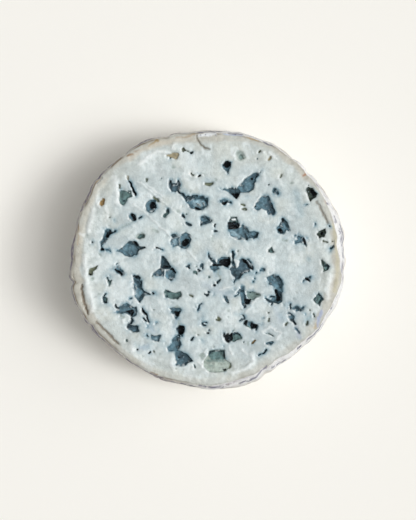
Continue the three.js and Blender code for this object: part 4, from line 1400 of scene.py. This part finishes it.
def joined(rings, start):
    """Triangles between rings of points that follow one another from a first number."""
    faces = []
    for first, second in zip(rings, rings[1:]):
        faces.extend(zipped(start, len(first), start + len(first), len(second)))
        start += len(first)
    return faces


def placed(name, data):
    """Puts a mesh, light or camera in the scene as an object."""
    thing = bpy.data.objects.new(name, data)
    bpy.context.scene.collection.objects.link(thing)
    return thing


def rind_relief(points):
    """Swells of the rind along the wall's outside, and how deep in a crease each point is."""
    fold = np.abs(layered(points * RIND_STRETCH, RIND_FOLDS))
    crease = smooth(1 - fold / CREASE_WIDTH) * smooth(layered(points, CREASE_CHANGE, CREASE_MEAN))
    return layered(points, RIND_SWELLS) - CREASE_DEPTH * crease, crease


def dressed_skin(skin):
    """The rind's points pushed out by its relief, and the values that go with them."""
    tint = crust_tint(skin[:, 0], skin[:, 1])
    angle = np.arctan2(skin[:, 1], skin[:, 0])
    height = skin[:, 2]
    below = HEIGHT - height
    on_wall = smooth(below / WALL_FADE) * smooth(height / WALL_FADE)
    swell, crease = rind_relief(skin)
    skin[:, 0] += swell * on_wall * np.cos(angle)
    skin[:, 1] += swell * on_wall * np.sin(angle)
    # Painted shade and light: violet on the wall's shaded side, white on its lit side.
    shaded_side = around(WALL_SHADED_SIDE, angle) * past(height, SHADED_SIDE_LOW_FADE)
    return skin, {
        "tint": tint,
        "rind": past(below, RIND_FADE),
        "shaded_side": shaded_side * past(below, SHADED_SIDE_TOP_FADE),
        "crease": crease * on_wall,
        "mark": marks(skin[:, 0], skin[:, 1]) * past(height, MARK_LOW_FADE),
    }


def build_cheese():
    """One closed mesh: the cut face with its eyes, the rim, the wall and the base."""
    places, faces = face_mesh()
    height, tint, mould, haze = face_relief(*places.T)
    face = np.column_stack((places, HEIGHT + height))
    on_face = {"tint": tint, "mould": mould, "haze": haze}
    lower = [*rim_rings(), *wall_rings(), *lower_rings()]
    skin, on_skin = dressed_skin(np.concatenate(lower))

    edge = 6 * FACE_RINGS
    first = 1 + sum(6 * ring for ring in range(FACE_RINGS))
    faces = faces.tolist() + zipped(first, edge, len(face), edge) + joined(lower, len(face))
    mesh = bpy.data.meshes.new("cheese_round")
    mesh.from_pydata((np.concatenate((face, skin)) * MM).tolist(), [], faces)
    mesh.update()
    for name in ("tint", "mould", "haze", "rind", "shaded_side", "crease", "mark"):
        inner = on_face.get(name, np.zeros(len(face)))
        outer = on_skin.get(name, np.zeros(len(skin)))
        store(mesh, name, np.concatenate((inner, outer)))
    mesh.shade_smooth()
    mesh.set_sharp_from_angle(angle=math.radians(SHARP_FROM))
    return placed("cheese_round", mesh)


def store(mesh, name, values):
    """Keeps one number or one colour for each point of a mesh."""
    if values.ndim == 2:
        layer = mesh.attributes.new(name, "FLOAT_COLOR", "POINT")
        full = np.concatenate((values, np.ones((len(values), 1))), axis=1)
        layer.data.foreach_set("color", full.astype(np.float32).ravel())
    else:
        layer = mesh.attributes.new(name, "FLOAT", "POINT")
        layer.data.foreach_set("value", values.astype(np.float32))


class Nodes:
    """A short way to write a material's node tree."""

    def __init__(self, name):
        self.material = bpy.data.materials.new(name)
        self.material.use_nodes = True
        self.tree = self.material.node_tree
        self.shader = self.tree.nodes["Principled BSDF"]

    def add(self, kind, **inputs):
        node = self.tree.nodes.new(kind)
        for name, value in inputs.items():
            self.put(node, name, value)
        return node

    def put(self, node, name, value):
        socket = node.inputs[name.replace("_", " ")] if isinstance(name, str) else node.inputs[name]
        if isinstance(value, bpy.types.NodeSocket):
            self.tree.links.new(value, socket)
        else:
            socket.default_value = value

    def attribute(self, name, output):
        node = self.tree.nodes.new("ShaderNodeAttribute")
        node.attribute_name = name
        return node.outputs[output]

    def place(self):
        return self.tree.nodes.new("ShaderNodeTexCoord").outputs["Object"]

    def cloud(self, size, detail=3.0, roughness=0.55, distortion=0.0, stretch=(1, 1, 1)):
        """Noise from 0 to 1 over a size in millimetres, squeezed by the stretch."""
        place = self.add("ShaderNodeMapping", Vector=self.place(), Scale=stretch).outputs["Vector"]
        node = self.add(
            "ShaderNodeTexNoise", Vector=place, Scale=1 / (size * MM), Detail=detail,
            Roughness=roughness, Distortion=distortion,
        )
        return node.outputs["Fac"]

    def ramp(self, value, low, high, start=0.0, end=1.0):
        """Turns a range of a value into another range, held at its ends."""
        node = self.tree.nodes.new("ShaderNodeMapRange")
        node.interpolation_type = "SMOOTHSTEP"
        for slot, setting in zip(range(5), (value, low, high, start, end)):
            self.put(node, slot, setting)
        return node.outputs["Result"]

    def math(self, operation, first, second=0.0):
        node = self.tree.nodes.new("ShaderNodeMath")
        node.operation = operation
        self.put(node, 0, first)
        self.put(node, 1, second)
        return node.outputs[0]

    def pattern(self, name):
        """A cloud whose range is turned into shares, as the table of patterns says."""
        cloud, span = PATTERNS[name]
        return self.ramp(self.cloud(*cloud), *span)

    def times(self, first, second):
        return self.math("MULTIPLY", first, second)

    def blend(self, share, base, top, kind="MIX"):
        node = self.tree.nodes.new("ShaderNodeMix")
        node.data_type = "RGBA"
        node.blend_type = kind
        node.clamp_factor = True
        for slot, setting in ((0, share), (6, base), (7, top)):
            if isinstance(setting, np.ndarray):
                setting = (*setting, 1.0)
            self.put(node, slot, setting)
        return node.outputs[2]


def bloomed_rind(nodes):
    """White bloom over beige and grey, with tan and blue patches."""
    base = nodes.blend(nodes.pattern("grey"), RIND_BEIGE, RIND_GREY)
    for name, dye in (("tan", RIND_TAN), ("blue", RIND_BLUE), ("bloom", RIND_BLOOM)):
        base = nodes.blend(nodes.pattern(name), base, dye)
    return base


def rind_colour(nodes, crease):
    """The bloomed rind with painted light and shade high on the wall, white on the lit side and violet
    on the shaded side, with arcs, creases and specks.
    """
    base = bloomed_rind(nodes)
    shaded_side = nodes.attribute("shaded_side", "Fac")
    patchy = nodes.pattern("shaded_side")
    white = nodes.times(nodes.times(shaded_side, -1.0), WHITE_LIT_SHARE)
    base = nodes.blend(white, base, RIND_WHITE_LIT)
    violet = nodes.times(nodes.times(shaded_side, patchy), VIOLET_SHADE_SHARE)
    base = nodes.blend(violet, base, RIND_VIOLET_SHADE)
    base = nodes.blend(1.0, base, nodes.pattern("powder"), "MULTIPLY")
    near = nodes.ramp(nodes.math("ABSOLUTE", shaded_side), *ARCS_NEED)
    arcs = nodes.pattern("arcs")
    near = nodes.times(near, nodes.ramp(shaded_side, *ARCS_BY_SIDE))
    base = nodes.blend(nodes.times(arcs, near), base, RIND_ARC)
    base = nodes.blend(nodes.times(crease, nodes.pattern("creases")), base, RIND_CREASE)
    base = nodes.blend(nodes.pattern("specks"), base, RIND_SPECK)
    return nodes.blend(nodes.attribute("mark", "Fac"), base, MARK)


def face_colour(nodes, mould):
    """The stored tint, with fine mottling of the paste and of the mould."""
    haze = nodes.attribute("haze", "Fac")
    paste_change = nodes.pattern("paste")
    mould_change = nodes.pattern("mould")
    mixed = nodes.tree.nodes.new("ShaderNodeMix")
    for slot, setting in ((0, mould), (2, paste_change), (3, mould_change)):
        nodes.put(mixed, slot, setting)
    face = nodes.blend(1.0, nodes.attribute("tint", "Color"), mixed.outputs[0], "MULTIPLY")
    cover = nodes.times(nodes.times(nodes.pattern("flecks"), haze), FLECK_SHARE)
    face = nodes.blend(cover, face, HAZE_FLECK)
    glints = nodes.times(nodes.pattern("glints"), mould)
    return nodes.blend(nodes.times(glints, GLINT_SHARE), face, MOULD_GLINT)


def cheese_material():
    nodes = Nodes("cheese")
    mould = nodes.attribute("mould", "Fac")
    rind = nodes.attribute("rind", "Fac")
    crease = nodes.attribute("crease", "Fac")
    colours = nodes.blend(rind, face_colour(nodes, mould), rind_colour(nodes, crease))
    nodes.put(nodes.shader, "Base Color", colours)
    dry = nodes.math("MAXIMUM", mould, rind)
    nodes.put(nodes.shader, "Roughness", nodes.ramp(dry, 0.0, 1.0, *ROUGHNESS))
    for name, value in CHEESE_SURFACE.items():
        nodes.put(nodes.shader, name, value)

    fine, coarse = [
        nodes.times(nodes.cloud(*cloud), nodes.ramp(rind, 0.0, 1.0, *strength))
        for cloud, strength in RELIEFS
    ]
    relief = nodes.math("ADD", fine, coarse)
    bump = nodes.add(
        "ShaderNodeBump", Strength=BUMP_STRENGTH, Distance=BUMP_DEPTH, Height=relief,
    )
    nodes.put(nodes.shader, "Normal", bump.outputs["Normal"])
    return nodes.material


def floor_material():
    nodes = Nodes("floor")
    nodes.put(nodes.shader, "Base Color", (*FLOOR_COLOUR, 1.0))
    for name, value in FLOOR_SURFACE.items():
        nodes.put(nodes.shader, name, value)
    return nodes.material


def build_floor():
    half = FLOOR_SIZE / 2
    corners = [(-half, -half, 0), (half, -half, 0), (half, half, 0), (-half, half, 0)]
    mesh = bpy.data.meshes.new("floor")
    mesh.from_pydata(corners, [], [(0, 1, 2, 3)])
    floor = placed("floor", mesh)
    mesh.materials.append(floor_material())


def add_camera(shift):
    data = bpy.data.cameras.new("camera")
    data.sensor_width = SENSOR
    data.lens = SENSOR * CAMERA_ABOVE / FRAME_TALL
    camera = placed("camera", data)
    x = FRAME_OFFSET[0] * MM + shift[0]
    y = FRAME_OFFSET[1] * MM + shift[1]
    camera.location = (x, y, (HEIGHT + CAMERA_ABOVE) * MM)
    bpy.context.scene.camera = camera


def add_sun(name, azimuth, elevation, spread, strength):
    """A sun whose light comes from the azimuth and elevation, in degrees."""
    data = bpy.data.lights.new(name, "SUN")
    data.angle = math.radians(spread)
    data.energy = strength
    sun = placed(name, data)
    sun.rotation_euler = (math.radians(90 - elevation), 0.0, math.radians(azimuth + 90))
    return data


def add_lights():
    for azimuth, elevation, strength in KEYS:
        add_sun("key", azimuth, elevation, KEY_SPREAD, strength)
    azimuth, elevation, strength = FILL
    fill = add_sun("fill", azimuth, elevation, 0.0, strength)
    fill.use_shadow = False
    world = bpy.data.worlds.new("surround")
    world.use_nodes = True
    background = world.node_tree.nodes["Background"]
    background.inputs["Color"].default_value = SURROUND_COLOUR
    background.inputs["Strength"].default_value = SURROUND_STRENGTH
    bpy.context.scene.world = world


def fit_to_frame(cheese):
    """Moves the mesh so that the middle of its box is the solid's, and says how far."""
    low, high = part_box("cheese")
    corners = np.array([corner[:] for corner in cheese.bound_box])
    middle = (corners.min(axis=0) + corners.max(axis=0)) / 2
    shift = [(low[i] + high[i]) / 2 - middle[i] for i in range(2)]
    for vertex in cheese.data.vertices:
        vertex.co.x += shift[0]
        vertex.co.y += shift[1]
    return shift


def main():
    bpy.context.scene.view_settings.view_transform = "Standard"
    cheese = build_cheese()
    cheese.data.materials.append(cheese_material())
    shift = fit_to_frame(cheese)
    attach(cheese, "root")
    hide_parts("cheese")
    build_floor()
    add_camera(shift)
    add_lights()


main()
